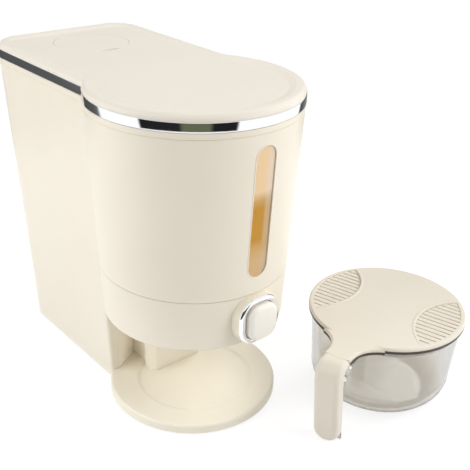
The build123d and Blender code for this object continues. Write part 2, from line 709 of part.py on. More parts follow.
def funnel(lift):
    """Inverted pyramid above the hopper's slopes, lifted by lift, as one ruled loft."""
    half_x = OUTLET_WIDTH / 2
    half_y = BUTTON_TRAVEL / 2
    rise = RIM_Z - HOPPER_Z
    side = half_x + rise / tan(radians(SLOPE_SIDE))
    front = OUTLET_Y - half_y - rise / tan(radians(SLOPE_FRONT))
    rear = OUTLET_Y + half_y + rise / tan(radians(SLOPE_REAR))
    low = Wire.make_polygon([
        (-half_x, OUTLET_Y - half_y, HOPPER_Z + lift), (half_x, OUTLET_Y - half_y, HOPPER_Z + lift),
        (half_x, OUTLET_Y + half_y, HOPPER_Z + lift), (-half_x, OUTLET_Y + half_y, HOPPER_Z + lift)])
    high = Wire.make_polygon([
        (-side, front, RIM_Z + lift), (side, front, RIM_Z + lift),
        (side, rear, RIM_Z + lift), (-side, rear, RIM_Z + lift)])
    return Part() + Solid.make_loft([low, high], True)


def make_hopper():
    """Sloping floor inside the body, with a throat down to the gate and a flange on the rails."""
    inset = WALL + SEAT_FIT
    clear = SEAM_Z + 2 * WALL + SEAT_FIT
    floor = funnel(-SHEET) - funnel(0.0)
    floor &= keyhole_loft(clear, RIM_Z - PLUG_DEPTH - SEAT_FIT, inset + WALL)
    half_x = OUTLET_WIDTH / 2
    half_y = BUTTON_TRAVEL / 2
    low = GATE_TOP + SLIDE_FIT
    throat = block(-half_x - THROAT_WALL, half_x + THROAT_WALL, OUTLET_Y - half_y - THROAT_WALL,
                   OUTLET_Y + half_y + THROAT_WALL, low, HOPPER_Z + SHEET)
    throat += block(-RAIL_OUTER, RAIL_OUTER, OUTLET_Y - half_y - CHUTE_FLANGE,
                    OUTLET_Y + half_y + CHUTE_FLANGE, RAIL_TOP, RAIL_TOP + FLANGE)
    throat -= block(-half_x, half_x, OUTLET_Y - half_y, OUTLET_Y + half_y, low - 1, HOPPER_Z + 1)
    return floor + (throat - funnel(0.0))


def make_top_lid():
    """Lid: rounded shoulder, dished panel, plug into the body and a collar for the basket."""
    edge = BAND_WALL - BAND_PROUD + TOUCH_FIT
    lid = lid_prism(BAND_TOP + TOUCH_FIT, LID_TOP, SEAT_FIT)
    lid = fillet(lid.edges().group_by(Axis.Z)[-1], LID_ROUND)
    lid += lid_prism(RIM_Z, BAND_TOP + TOUCH_FIT, edge)
    lid += lid_prism(RIM_Z - PLUG_DEPTH, RIM_Z, PLUG_OUTER)
    lid -= lid_prism(RIM_Z - PLUG_DEPTH - 1, PANEL_TOP - LID_PANEL, PLUG_INNER)
    dish = Solid.make_loft([keyhole(PANEL_TOP, DISH_EDGE + DISH_SLOPE, RIM_Z),
                            keyhole(LID_TOP, DISH_EDGE, RIM_Z)], True)
    lid -= dish
    ledge_top = PANEL_TOP - CAP_THICKNESS - BASKET_FLANGE
    lid += tube_z(0, CAP_Y, CAP_R + SLIDE_FIT + COLLAR_WALL, ledge_top - LEDGE, PANEL_TOP - TOUCH_FIT)
    lid -= tube_z(0, CAP_Y, CAP_R + SLIDE_FIT, ledge_top, LID_TOP + 1)
    lid -= tube_z(0, CAP_Y, BASKET_R + SEAT_FIT, ledge_top - LEDGE - 1, ledge_top + 1)
    return lid


def make_lid_band():
    """Bright band round the lid, between the rim and the shoulder."""
    low = RIM_Z + BAND_LOW
    band = lid_prism(low, BAND_TOP, -BAND_PROUD)
    return band - lid_prism(low - 1, BAND_TOP + 1, BAND_WALL - BAND_PROUD)


def make_lid_seal():
    """Gasket round the lid's plug."""
    high = RIM_Z - SEAL_DROP
    low = high - SEAL_HEIGHT
    outer = WALL + SLIDE_FIT + (drum_radius(RIM_Z) - drum_radius(low))
    return lid_prism(low, high, outer) - lid_prism(low - 1, high + 1, PLUG_OUTER)


def make_desiccant_cap():
    """Round cap, flush with the lid's panel, with a finger notch in front."""
    low = PANEL_TOP - CAP_THICKNESS
    cap = tube_z(0, CAP_Y, CAP_R, low, PANEL_TOP)
    cap = fillet(cap.edges().group_by(Axis.Z)[-1], CAP_EDGE_R)
    notch_r = (NOTCH_HALF ** 2 + NOTCH_DEPTH ** 2) / (2 * NOTCH_DEPTH)
    centre = CAP_Y - CAP_R + NOTCH_DEPTH - notch_r
    return cap - tube_z(0, centre, notch_r, PANEL_TOP - NOTCH_DROP, PANEL_TOP + 1)


def make_desiccant_basket():
    """Slotted basket that hangs in the lid by its flange."""
    high = PANEL_TOP - CAP_THICKNESS
    low = high - BASKET_DEPTH
    basket = tube_z(0, CAP_Y, BASKET_R, low, high)
    basket += tube_z(0, CAP_Y, CAP_R, high - BASKET_FLANGE, high)
    basket -= tube_z(0, CAP_Y, BASKET_R - BASKET_WALL, low + BASKET_WALL, high + 1)
    slot_low = low + 2 * BASKET_WALL
    slot = block(BASKET_R - 3 * BASKET_WALL, BASKET_R + 1, -BASKET_SLOT_WIDTH / 2, BASKET_SLOT_WIDTH / 2,
                 slot_low, slot_low + BASKET_SLOT_HEIGHT)
    for place in PolarLocations(0, BASKET_SLOTS):
        basket -= Pos(0, CAP_Y, 0) * place * slot
    return basket


def cup_place():
    """Where the cup stands, turned so that its own +X is the handle."""
    return Pos(CUP_X, CUP_Y, 0) * Rot(0, 0, HANDLE_ANGLE)


def bowl_wall_r(z):
    """Outer radius of the bowl's leaning side at height z."""
    return BOWL_LOW_R + BOWL_FLARE * (z - BOWL_LOW_Z) / (BOWL_RIM_Z - BOWL_LOW_Z)


def bowl_profile(inset):
    """Half section of the bowl, set in by inset, from the axis round to the rim."""
    base = BOWL_BASE_R
    low = BOWL_FLOOR if inset else 0.0
    bend = BOWL_LOW_R - BOWL_BASE_R
    share = cos(pi / 4)
    middle = (base + (bend - inset) * share, BOWL_LOW_Z - (BOWL_LOW_Z - low) * share)
    shoulder = (BOWL_LOW_R - inset, BOWL_LOW_Z)
    rim = (BOWL_RIM_R - inset, BOWL_RIM_Z + (1 if inset else 0))
    return [(0.0, low), (base, low), middle, shoulder, rim, (0.0, rim[1])]


def bowl_solid(inset):
    """Solid of revolution of the bowl's half section."""
    axis_low, base, middle, shoulder, rim, axis_high = bowl_profile(inset)
    line = Polyline(axis_high, axis_low, base) + ThreePointArc(base, middle, shoulder)
    line += Polyline(shoulder, rim, axis_high)
    return revolve(make_face(Plane.XZ * line), Axis.Z)


def handle_bend(x, top, radius):
    """Arc from the flat top to the handle's lean (start, middle, end), then the point at the foot."""
    lean = radians(GRIP_LEAN)
    half = (pi / 2 - lean) / 2
    centre = (x - radius, top - radius)
    end = (centre[0] + radius * cos(lean), centre[1] - radius * sin(lean))
    middle = (centre[0] + radius * cos(half), centre[1] + radius * sin(half))
    return (centre[0], top), middle, end, (end[0] - (end[1] - GRIP_LOW) * tan(lean), GRIP_LOW)


def strap_path():
    """Outline of the clear strap in the handle's plane, as radius and height."""
    outer = GRIP_OUTER - GRIP_THICKNESS - TOUCH_FIT
    root = BOWL_RIM_R - BOWL_WALL / 2
    under = BOWL_RIM_Z - STRAP
    start, middle, end, foot = handle_bend(outer, BOWL_RIM_Z, STRAP_BEND)
    in_start, in_middle, in_end, in_foot = handle_bend(outer - STRAP, under, STRAP_HOLLOW)
    line = Polyline((root, BOWL_RIM_Z), start) + ThreePointArc(start, middle, end)
    line += Polyline(end, foot, in_foot, in_end) + ThreePointArc(in_end, in_middle, in_start)
    line += Polyline(in_start, (root, under), (root, BOWL_RIM_Z))
    return line


def make_cup_bowl():
    """Clear bowl with rounded foot and the strap that carries the handle."""
    bowl = bowl_solid(0.0)
    strap = extrude(make_face(Plane.XZ * strap_path()), STRAP_WIDTH / 2, both=True)
    bowl = bowl + strap
    bowl -= bowl_solid(BOWL_WALL)
    return cup_place() * bowl


def tab_end_r():
    """Radius of the tab's bowed end."""
    return (TAB_HALF ** 2 + TAB_BOW ** 2) / (2 * TAB_BOW)


def make_cup_handle_cover():
    """Cover on the outside of the strap, from the lid's tab round the bend to the foot."""
    inner = GRIP_OUTER - GRIP_THICKNESS
    top = CUP_LID_TOP - CUP_LID_CROWN
    under = BOWL_RIM_Z + TOUCH_FIT
    begin = TAB_END - TAB_BOW
    start, middle, end, foot = handle_bend(GRIP_OUTER, top, GRIP_BEND)
    in_start, in_middle, in_end, in_foot = handle_bend(inner, under, STRAP_BEND + TOUCH_FIT)
    line = Polyline((begin, top), start) + ThreePointArc(start, middle, end)
    line += Polyline(end, foot, in_foot, in_end) + ThreePointArc(in_end, in_middle, in_start)
    line += Polyline(in_start, (begin, under), (begin, top))
    cover = extrude(make_face(Plane.XZ * line), GRIP_WIDTH / 2, both=True)
    height = top + GRIP_WIDTH
    round_foot = Pos(0, GRIP_LOW + height / 2) * SlotOverall(height, GRIP_WIDTH, rotation=90)
    cover &= extrude(Plane.YZ * round_foot, BIG, both=True)
    outer_edges = cover.edges().filter_by(
        lambda edge: (edge.center().X > inner + 1 or edge.center().Z > top - 1)
        and abs((edge % 0.5).Y) < 0.9)
    cover = fillet(outer_edges, GRIP_ROUND)
    cover -= tube_z(TAB_END - tab_end_r(), 0, tab_end_r() + SLIDE_FIT, 0, BIG)
    return cup_place() * cover


def slot_field(side, sink):
    """Lens-shaped prism at one side of the cup's lid, from the crown down to sink below it."""
    outer = CUP_LID_R - FIELD_MARGIN
    chord = sqrt(outer ** 2 - FIELD_HALF ** 2)
    bulge = chord - (outer - FIELD_DEPTH)
    inner = (FIELD_HALF ** 2 + bulge ** 2) / (2 * bulge)
    low = CUP_LID_TOP - sink
    centre = side * (outer - FIELD_DEPTH + inner)
    return tube_z(0, 0, outer, low, CUP_LID_TOP + 1) & tube_z(0, centre, inner, low, CUP_LID_TOP + 1)


def cup_lid_disc(low):
    """Crowned disc with a rounded edge, as a solid of revolution."""
    edge_top = CUP_LID_TOP - CUP_LID_CROWN
    turn = CUP_LID_ROUND * (1 - cos(pi / 4))
    shoulder = CUP_LID_R - CUP_LID_ROUND
    line = Polyline((0, CUP_LID_TOP), (0, low), (CUP_LID_R, low), (CUP_LID_R, edge_top - CUP_LID_ROUND))
    line += ThreePointArc((CUP_LID_R, edge_top - CUP_LID_ROUND), (CUP_LID_R - turn, edge_top - turn),
                          (shoulder, edge_top))
    line += ThreePointArc((shoulder, edge_top), (shoulder / 2, CUP_LID_TOP - CUP_LID_CROWN / 4),
                          (0, CUP_LID_TOP))
    return revolve(make_face(Plane.XZ * line), Axis.Z)


def tab_prism(low, high):
    """Upright solid of the tab's plan: flared where it leaves the lid and bowed at its end."""
    root = CUP_LID_R - 2 * CUP_LID_ROUND
    waist = CUP_LID_R + TAB_NECK
    side_end = TAB_END - TAB_BOW
    right = Spline((root, TAB_FLARE), (waist, TAB_HALF + TAB_NECK / 4), (side_end, TAB_HALF))
    left = Spline((side_end, -TAB_HALF), (waist, -TAB_HALF - TAB_NECK / 4), (root, -TAB_FLARE))
    end = ThreePointArc((side_end, TAB_HALF), (TAB_END, 0), (side_end, -TAB_HALF))
    line = right + end + left + Polyline((root, -TAB_FLARE), (root, TAB_FLARE))
    return Pos(0, 0, low) * extrude(make_face(line), high - low)


def cup_lid_tab(low):
    """Tab over the handle, rounded along its upper edges."""
    tab = tab_prism(low, CUP_LID_TOP - CUP_LID_CROWN)
    inner = CUP_LID_R - CUP_LID_ROUND
    outer = TAB_END - TAB_BOW
    rim = tab.edges().group_by(Axis.Z)[-1].filter_by(lambda edge: inner < edge.center().X < outer)
    return fillet(rim, CUP_LID_ROUND)


def make_cup_lid():
    """Crowned lid with a plug, a tab over the handle and two fields of drain slots."""
    edge_low = BOWL_RIM_Z + TRIM_HEIGHT + 2 * TOUCH_FIT
    lid = cup_lid_disc(edge_low) + cup_lid_tab(edge_low)
    lid += tube_z(0, 0, BOWL_RIM_R + TOUCH_FIT, BOWL_RIM_Z, edge_low)
    plug_r = bowl_wall_r(BOWL_RIM_Z - CUP_PLUG_DEPTH) - BOWL_WALL - SLIDE_FIT
    lid += tube_z(0, 0, plug_r, BOWL_RIM_Z - CUP_PLUG_DEPTH, BOWL_RIM_Z)
    lid -= tube_z(0, 0, plug_r - CUP_PLUG_WALL, 0, CUP_LID_TOP - CUP_LID_CROWN - CUP_LID_PANEL)
    comb = []
    for k in range(SLOT_COUNT):
        x = (k - (SLOT_COUNT - 1) / 2) * SLOT_PITCH
        comb.append(block(x - SLOT_WIDTH / 2, x + SLOT_WIDTH / 2, -BIG, BIG, 0, BIG))
    for side in (-1, 1):
        lid -= slot_field(side, CUP_LID_CROWN + FIELD_SINK)
        deep = slot_field(side, CUP_LID_CROWN + 2 * CUP_LID_PANEL)
        for tooth in comb:
            lid -= deep & tooth
    return cup_place() * lid


def make_cup_trim():
    """Thin ring under the edge of the cup's lid and its tab."""
    low = BOWL_RIM_Z + TOUCH_FIT
    high = low + TRIM_HEIGHT
    ring = tube_z(0, 0, CUP_LID_R, low, high) + tab_prism(low, high)
    ring -= tube_z(0, 0, BOWL_RIM_R + 2 * TOUCH_FIT, low - 1, high + 1)
    return cup_place() * ring


NODES = {
    "body_shell": make_body_shell,
    "drum_base": make_drum_base,
    "alcove_panel": make_alcove_panel,
    "base_tray": make_base_tray,
    "base_plate": make_base_plate,
    "base_screws": make_base_screws,
    "foot_pads": make_foot_pads,
    "housing_screws": make_housing_screws,
    "window_lens": make_window_lens,
    "button_ring": make_button_ring,
    "push_button": make_push_button,
    "push_rod": make_push_rod,
    "gate": make_gate,
    "gate_guide": make_gate_guide,
    "return_spring": make_return_spring,
    "outlet_chute": make_outlet_chute,
    "hopper": make_hopper,
    "top_lid": make_top_lid,
    "lid_band": make_lid_band,
    "lid_seal": make_lid_seal,
    "desiccant_cap": make_desiccant_cap,
    "desiccant_basket": make_desiccant_basket,
    "cup_bowl": make_cup_bowl,
    "cup_handle_cover": make_cup_handle_cover,
    "cup_lid": make_cup_lid,
    "cup_trim": make_cup_trim,
}

os.makedirs("parts", exist_ok=True)
for name, make in NODES.items():
    export_step(make(), f"parts/{name}.step")
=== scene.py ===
"""Rice storage box: finishes, fine pieces and a small studio, laid out as an add-on.

Metres, +Z up, front towards -Y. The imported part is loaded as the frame, and every piece made
here sits on it.
"""
from math import radians

import bmesh
import bpy
import numpy as np
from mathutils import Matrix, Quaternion, Vector


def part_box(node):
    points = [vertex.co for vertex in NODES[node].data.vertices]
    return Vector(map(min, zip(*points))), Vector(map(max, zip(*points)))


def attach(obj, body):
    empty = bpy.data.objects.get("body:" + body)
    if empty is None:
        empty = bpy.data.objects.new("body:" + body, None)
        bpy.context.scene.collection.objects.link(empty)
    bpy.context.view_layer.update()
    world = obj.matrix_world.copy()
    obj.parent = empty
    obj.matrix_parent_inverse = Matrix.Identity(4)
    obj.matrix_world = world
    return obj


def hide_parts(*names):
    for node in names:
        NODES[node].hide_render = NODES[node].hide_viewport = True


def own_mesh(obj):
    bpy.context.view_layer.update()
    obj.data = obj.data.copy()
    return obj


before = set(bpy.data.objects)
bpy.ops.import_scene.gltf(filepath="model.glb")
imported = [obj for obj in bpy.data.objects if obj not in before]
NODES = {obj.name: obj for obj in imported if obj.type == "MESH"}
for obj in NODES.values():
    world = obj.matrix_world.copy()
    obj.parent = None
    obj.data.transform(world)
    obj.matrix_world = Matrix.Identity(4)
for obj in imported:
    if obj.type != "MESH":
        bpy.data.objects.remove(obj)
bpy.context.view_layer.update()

bl_info = {
    "name": "Rice storage box",
    "version": (1, 0, 0),
    "blender": (4, 5, 0),
    "location": "3D View > Sidebar > Rice box",
    "description": "Finishes, fine pieces and studio of a rice storage box",
    "category": "Object",
}

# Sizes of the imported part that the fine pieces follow, in metres
NECK_STEP = 0.0165         # the column is narrower than the drum by this, each side
NECK_R = 0.0046            # hollow where the drum runs into the column, at the band
REAR_R = 0.0284            # rear corners, at the band
BAND_WALL = 0.0020
SEAL_INSET = 0.0044        # inner side of the seal, from the band's face
DRUM_DRAFT = 0.0098        # the drum is smaller by this at its underside
LENS_FLANGE = 0.0035
PAD_R = 0.0180
PAD_SIDE_Y = 0.0079
PAD_REAR_X = 0.0320
SCREW_HEAD_R = 0.0034
SCREW_SHANK_R = 0.0016
SCREW_CONE = 0.0020
SCREW_REAR_X = 0.0380
FIELD_MARGIN = 0.0045      # from the edge of the cup's lid to a slot field
FIELD_DEPTH = 0.0370
FIELD_HALF = 0.0450
CUP_CROWN = 0.0015         # the middle of the cup's lid above its edge
HANDLE_TURN = radians(196)  # turn of the cup about its axis
SPRING_TURNS = 8

# Shapes of the fine pieces
SEAL_RIBS = 3
PAD_HOLLOW = 0.15          # hollow of a pad's face, as a share of its rounded edge
CLOSE_PITCH = 1.2          # pitch of the spring's end turns, as a share of the wire
CROSS_REACH = 0.62         # cross recess, in shares of the screw's head: half length
CROSS_END = 0.25           # slope at its ends
CROSS_HALF = 0.16          # half width
CROSS_SIDE = 0.10          # slope at its sides

# Points along the curves
PLAN_STEPS = 48
EDGE_STEPS = 7
RIB_STEPS = 12
BEAD_STEPS = 40
SECTION_STEPS = 16
TURN_STEPS = 48
PAD_STEPS = 9
CROSS_STEPS = 22
SCREW_STEPS = 64
RIDGE_STEPS = 61
COIL_STEPS = 28
WIRE_STEPS = 12
MERGE_DISTANCE = 1e-7

# Finishes
GRAIN_DEFAULTS = {"Tint": 0.04, "Cloud size": 25.0, "Grain size": 1500.0, "Roughness": 0.3, "Spread": 0.06}
GRAIN_DEPTH = 0.0002
BASE_SHADE_FULL = 0.006     # height up to which the bowl has the painted shade of its base
BASE_SHADE_END = 0.024
STRIP_SHARES = (0.0, 0.15, 0.25, 0.31, 0.54, 0.60, 0.66, 1.0)  # heights of the strip's colours, painted light and shade of the inside seen through the lens
SAND_FROM = 0.0015         # the strip turns from gold to sand between these, across its width, as painted light and shade of the inside
SAND_FULL = 0.0055


def linear(red, green, blue):
    """A colour written as display values from 0 to 255, as the linear values that shaders take."""
    c = np.array([red, green, blue]) / 255
    return tuple(np.where(c <= 0.04045, c / 12.92, ((c + 0.055) / 1.055) ** 2.4).tolist())


def colour_property(label, description, *display):
    """A colour setting with a default in display values."""
    return bpy.props.FloatVectorProperty(
        name=label, description=description, subtype="COLOR", size=3, min=0, max=1, default=linear(*display))


def length_property(label, description, metres):
    """A length setting in metres."""
    return bpy.props.FloatProperty(
        name=label, description=description, unit="LENGTH", subtype="DISTANCE", min=0, precision=4,
        default=metres)


def share_property(label, description, share):
    """A setting from 0 to 1."""
    return bpy.props.FloatProperty(
        name=label, description=description, subtype="FACTOR", min=0, max=1, default=share)


def power_property(label, watts):
    """A lamp's power."""
    return bpy.props.FloatProperty(
        name=label, description="Power in watts", unit="POWER", min=0, default=watts)


class RiceBoxColours(bpy.types.PropertyGroup):
    """Colours of the finishes."""

    body: colour_property("Body", "Cream of the housing", 240, 232, 215)
    lid: colour_property("Lid", "Cream of the lid and cap", 238, 231, 217)
    tray: colour_property("Tray", "Cream of the tray and alcove", 246, 239, 222)
    button: colour_property("Button", "Cream of the push button", 246, 241, 231)
    cup: colour_property("Cup lid", "Cream of the cup's lid and handle", 229, 221, 206)
    chrome: colour_property("Chrome", "Bright trim", 244, 245, 247)
    # Window strip colours: the lens's amber with painted light and shade of the inside seen through it
    amber: colour_property("Amber", "Foot of the window strip", 214, 177, 127)
    amber_deep: colour_property("Deep amber", "Between the foot and the gold of the strip", 207, 164, 98)
    amber_gold: colour_property("Gold", "Middle of the window strip", 198, 143, 42)
    amber_pale: colour_property("Pale amber", "Top of the window strip", 237, 206, 162)
    sand: colour_property("Sand", "Right side of the strip, at its foot", 206, 180, 146)
    sand_deep: colour_property("Deep sand", "Right side of the strip, in the middle", 200, 168, 122)
    sand_pale: colour_property("Pale sand", "Right side of the strip, at the top", 232, 210, 184)
    inner: colour_property("Inner plastic", "Hopper, chute and basket", 236, 231, 221)
    guide: colour_property("Guide plastic", "Gate, guide and rod", 240, 240, 236)
    rubber: colour_property("Seal rubber", "Gasket of the lid", 205, 200, 190)
    pad: colour_property("Pad rubber", "Foot pads", 236, 236, 236)
    steel: colour_property("Steel", "Screws and spring", 190, 190, 188)
    # Cup trim colour: a painted dark reflection on the ring under the cup's lid
    trim: colour_property("Dark trim", "Ring under the cup's lid", 58, 48, 38)
    clear: colour_property("Clear plastic", "Wall of the cup's bowl", 232, 231, 228)
    # Bowl base colour: painted shade, the bowl darker at its base where the lid shades it
    bowl_painted_shade: colour_property("Bowl base", "Thick base of the cup's bowl", 195, 188, 175)


class RiceBoxSizes(bpy.types.PropertyGroup):
    """Sizes of the fine pieces."""

    band_edge: length_property("Band edge", "Rounding of the bright band's edges", 0.0006)
    bead_width: length_property("Window bead", "Width of the bead round the window", 0.0012)
    bead_height: length_property("Bead height", "The bead above the drum's wall", 0.0004)
    pad_dome: length_property("Pad dome", "Rounding of a foot pad's edge", 0.0008)
    cross_depth: length_property("Cross depth", "Depth of the recess in a screw's head", 0.0011)
    seal_rib: length_property("Seal rib", "Depth of the grooves round the seal", 0.0003)
    ridge_width: length_property("Field ridge", "Width of the ridge beside the drain slots", 0.0030)
    ridge_height: length_property("Ridge height", "The ridge above the cup's lid", 0.0005)
    spring_wire: length_property("Spring wire", "Diameter of the return spring's wire", 0.0009)


class RiceBoxStudio(bpy.types.PropertyGroup):
    """Camera and lamps."""

    lens: bpy.props.FloatProperty(
        name="Lens", description="Focal length of the camera", unit="CAMERA", default=61.0, min=1)
    roll: bpy.props.FloatProperty(
        name="Roll", description="Turn of the camera about its own axis", unit="ROTATION",
        default=radians(-1.907))
    left: power_property("Left lamp", 16.0)
    right: power_property("Right lamp", 18.8)
    side: power_property("Side lamp", 12.5)
    front: power_property("Front lamp", 2.5)
    alcove: power_property("Alcove lamp", 8.0)
    tray: power_property("Tray lamp", 14.0)
    top: power_property("Top lamp", 0.5)
    ambient: share_property("Ambient", "Light from all round", 0.32)


def colours():
    """The colour settings."""
    return bpy.context.scene.rice_box_colours


def sizes():
    """The sizes of the fine pieces."""
    return bpy.context.scene.rice_box_sizes


def studio():
    """The studio settings."""
    return bpy.context.scene.rice_box_studio


# Shader helpers


def set_inputs(node, **values):
    """Sets a node's inputs by socket name, with underscores for spaces."""
    for name, value in values.items():
        node.inputs[name.replace("_", " ")].default_value = value
    return node


def add_node(tree, kind, **values):
    """A new shader node with its input values."""
    return set_inputs(tree.nodes.new(kind), **values)


def math_node(tree, operation, *terms):
    """The result of a math node on sockets and plain values, in the order of its inputs."""
    node = tree.nodes.new("ShaderNodeMath")
    node.operation = operation
    for socket, term in zip(node.inputs, terms):
        if isinstance(term, bpy.types.NodeSocket):
            tree.links.new(term, socket)
        else:
            socket.default_value = term
    return node.outputs[0]


def mix_shaders(tree, share, first, second):
    """A mix of two shader nodes by a share socket."""
    mix = add_node(tree, "ShaderNodeMixShader")
    tree.links.new(share, mix.inputs["Fac"])
    tree.links.new(first.outputs[0], mix.inputs[1])
    tree.links.new(second.outputs[0], mix.inputs[2])
    return mix


def object_axes(tree):
    """The sockets X, Y and Z of the Object coordinates."""
    place = add_node(tree, "ShaderNodeTexCoord")
    split = add_node(tree, "ShaderNodeSeparateXYZ")
    tree.links.new(place.outputs["Object"], split.inputs["Vector"])
    return split.outputs


def rgba(colour):
    """A colour with full alpha."""
    return (*colour, 1.0)


def grey(level):
    """A plain grey with full alpha."""
    return (level, level, level, 1.0)


def fill_ramp(ramp, stops):
    """Sets a colour ramp's stops, given in rising order as position and colour."""
    elements = ramp.color_ramp.elements
    elements.remove(elements[1])
    elements[0].position, elements[0].color = stops[0][0], rgba(stops[0][1])
    for position, colour in stops[1:]:
        elements.new(position).color = rgba(colour)


def height_ramp(tree, source, stops):
    """A colour by height: stops are heights in metres with their colours."""
    low, high = stops[0][0], stops[-1][0]
    share = add_node(tree, "ShaderNodeMapRange", From_Min=low, From_Max=high)
    ramp = add_node(tree, "ShaderNodeValToRGB")
    fill_ramp(ramp, [((z - low) / (high - low), colour) for z, colour in stops])
    tree.links.new(source, share.inputs["Value"])
    tree.links.new(share.outputs["Result"], ramp.inputs["Fac"])
    return ramp.outputs["Color"]


def grain_group():
    """Shader group of a moulded or plated surface, on Object coordinates.

    It gives a cloudy tint, an uneven gloss and a fine height.
    """
    name = "Moulded grain"
    if name in bpy.data.node_groups:
        return bpy.data.node_groups[name]
    group = bpy.data.node_groups.new(name, "ShaderNodeTree")
    face = group.interface
    face.new_socket("Colour", in_out="INPUT", socket_type="NodeSocketColor")
    for label, value in GRAIN_DEFAULTS.items():
        face.new_socket(label, in_out="INPUT", socket_type="NodeSocketFloat").default_value = value
    face.new_socket("Colour", in_out="OUTPUT", socket_type="NodeSocketColor")
    face.new_socket("Roughness", in_out="OUTPUT", socket_type="NodeSocketFloat")
    face.new_socket("Height", in_out="OUTPUT", socket_type="NodeSocketFloat")
    given = group.nodes.new("NodeGroupInput").outputs
    out = group.nodes.new("NodeGroupOutput").inputs
    link = group.links.new
    place = add_node(group, "ShaderNodeTexCoord")
    cloud = add_node(group, "ShaderNodeTexNoise", Detail=3.0, Roughness=0.5)
    grain = add_node(group, "ShaderNodeTexNoise", Detail=2.0, Roughness=0.6)
    for noise, size in ((cloud, "Cloud size"), (grain, "Grain size")):
        link(place.outputs["Object"], noise.inputs["Vector"])
        link(given[size], noise.inputs["Scale"])
    centred = math_node(group, "SUBTRACT", cloud.outputs["Fac"], 0.5)
    tinted = add_node(group, "ShaderNodeVectorMath")
    tinted.operation = "SCALE"
    link(given["Colour"], tinted.inputs[0])
    link(math_node(group, "MULTIPLY_ADD", centred, given["Tint"], 1.0), tinted.inputs["Scale"])
    gloss = math_node(group, "MULTIPLY_ADD", centred, given["Spread"], given["Roughness"])
    link(tinted.outputs[0], out["Colour"])
    link(gloss, out["Roughness"])
    link(grain.outputs["Fac"], out["Height"])
    return group


def new_material(name):
    """An empty node material with its tree and Principled shader."""
    material = bpy.data.materials.new(name)
    material.use_nodes = True
    tree = material.node_tree
    return material, tree, tree.nodes["Principled BSDF"]


def grained(tree, shader, **values):
    """The grain group, with its input values, on a shader's colour and roughness."""
    grain = tree.nodes.new("ShaderNodeGroup")
    grain.node_tree = grain_group()
    tree.links.new(grain.outputs["Colour"], shader.inputs["Base Color"])
    tree.links.new(grain.outputs["Roughness"], shader.inputs["Roughness"])
    return set_inputs(grain, **values)


def moulded_plastic(name, colour, roughness, height=0.02, specular=0.5):
    """Satin moulded plastic with a cloudy tint and a fine grain."""
    material, tree, shader = new_material(name)
    grain = grained(tree, shader, Colour=rgba(colour), Tint=0.035, Roughness=roughness, Spread=0.08)
    bump = add_node(tree, "ShaderNodeBump", Strength=height, Distance=GRAIN_DEPTH)
    tree.links.new(grain.outputs["Height"], bump.inputs["Height"])
    tree.links.new(bump.outputs["Normal"], shader.inputs["Normal"])
    set_inputs(shader, Specular_IOR_Level=specular)
    return material


def metal(name, colour, roughness):
    """Bright metal or plating with faint handling marks in its gloss."""
    material, tree, shader = new_material(name)
    grained(tree, shader, Colour=rgba(colour), Tint=0.02, Cloud_size=60.0, Roughness=roughness, Spread=0.04)
    set_inputs(shader, Metallic=1.0)
    return material


def clear_plastic(name, wall, base, roughness):
    """Clear moulded plastic: faintly cloudy, unevenly polished, and darker at its base with painted shade of
    the lid above it.
    """
    material, tree, shader = new_material(name)
    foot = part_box("cup_bowl")[0].z
    grain = grained(tree, shader, Tint=0.05, Cloud_size=40.0, Roughness=roughness, Spread=0.06)
    # Painted shade: the base colour low down, fading to the wall colour above
    tint = height_ramp(tree, object_axes(tree)["Z"], [
        (foot, base), (foot + BASE_SHADE_FULL, base), (foot + BASE_SHADE_END, wall)])
    tree.links.new(tint, grain.inputs["Colour"])
    set_inputs(shader, IOR=1.49, Transmission_Weight=1.0)
    return material


def amber_strip(name):
    """Amber window: the lens's amber with painted light and shade of the inside seen through it, pale above,
    gold across the middle and sandy below, greyer towards its right side.
    """
    material, tree, shader = new_material(name)
    c = colours()
    link = tree.links.new
    low, high = (corner.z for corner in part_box("window_lens"))
    levels = [low + share * (high - low) for share in STRIP_SHARES]
    # Painted light and shade of the inside: a colour by height, greyer towards the right side
    golden = (c.amber, c.amber, c.amber_deep, c.amber_gold,
              c.amber_gold, c.amber_deep, c.amber_pale, c.amber_pale)
    sandy = (c.sand, c.sand, c.sand_deep, c.sand_deep,
             c.sand_deep, c.sand, c.sand_pale, c.sand_pale)
    axis = object_axes(tree)
    across = add_node(tree, "ShaderNodeMapRange", From_Min=SAND_FROM, From_Max=SAND_FULL)
    across.interpolation_type = "SMOOTHSTEP"
    mix = add_node(tree, "ShaderNodeMix")
    mix.data_type = "RGBA"
    grain = grained(tree, shader, Tint=0.06, Cloud_size=90.0, Roughness=0.2, Spread=0.08)
    link(axis["X"], across.inputs["Value"])
    link(across.outputs["Result"], mix.inputs["Factor"])
    link(height_ramp(tree, axis["Z"], list(zip(levels, golden))), mix.inputs["A"])
    link(height_ramp(tree, axis["Z"], list(zip(levels, sandy))), mix.inputs["B"])
    link(mix.outputs["Result"], grain.inputs["Colour"])
    set_inputs(shader, Coat_Weight=0.05, Coat_Roughness=0.06, Specular_IOR_Level=0.25)
    return material


def dress(material, *nodes):
    """Gives CAD nodes a material in all their slots."""
    for name in nodes:
        mesh = NODES[name].data
        mesh.materials.clear()
        mesh.materials.append(material)


# Surfaces


def grid_faces(rows, columns, closed_rows, closed_columns):
    """Quads between neighbours of a grid of points.

    A closed way joins the last row or column to the first.
    """
    index = np.arange(rows * columns).reshape(rows, columns)
    if closed_rows:
        index = np.concatenate([index, index[:1]], axis=0)
    if closed_columns:
        index = np.concatenate([index, index[:, :1]], axis=1)
    corners = [index[:-1, :-1], index[:-1, 1:], index[1:, 1:], index[1:, :-1]]
    return np.stack(corners, axis=-1).reshape(-1, 4)


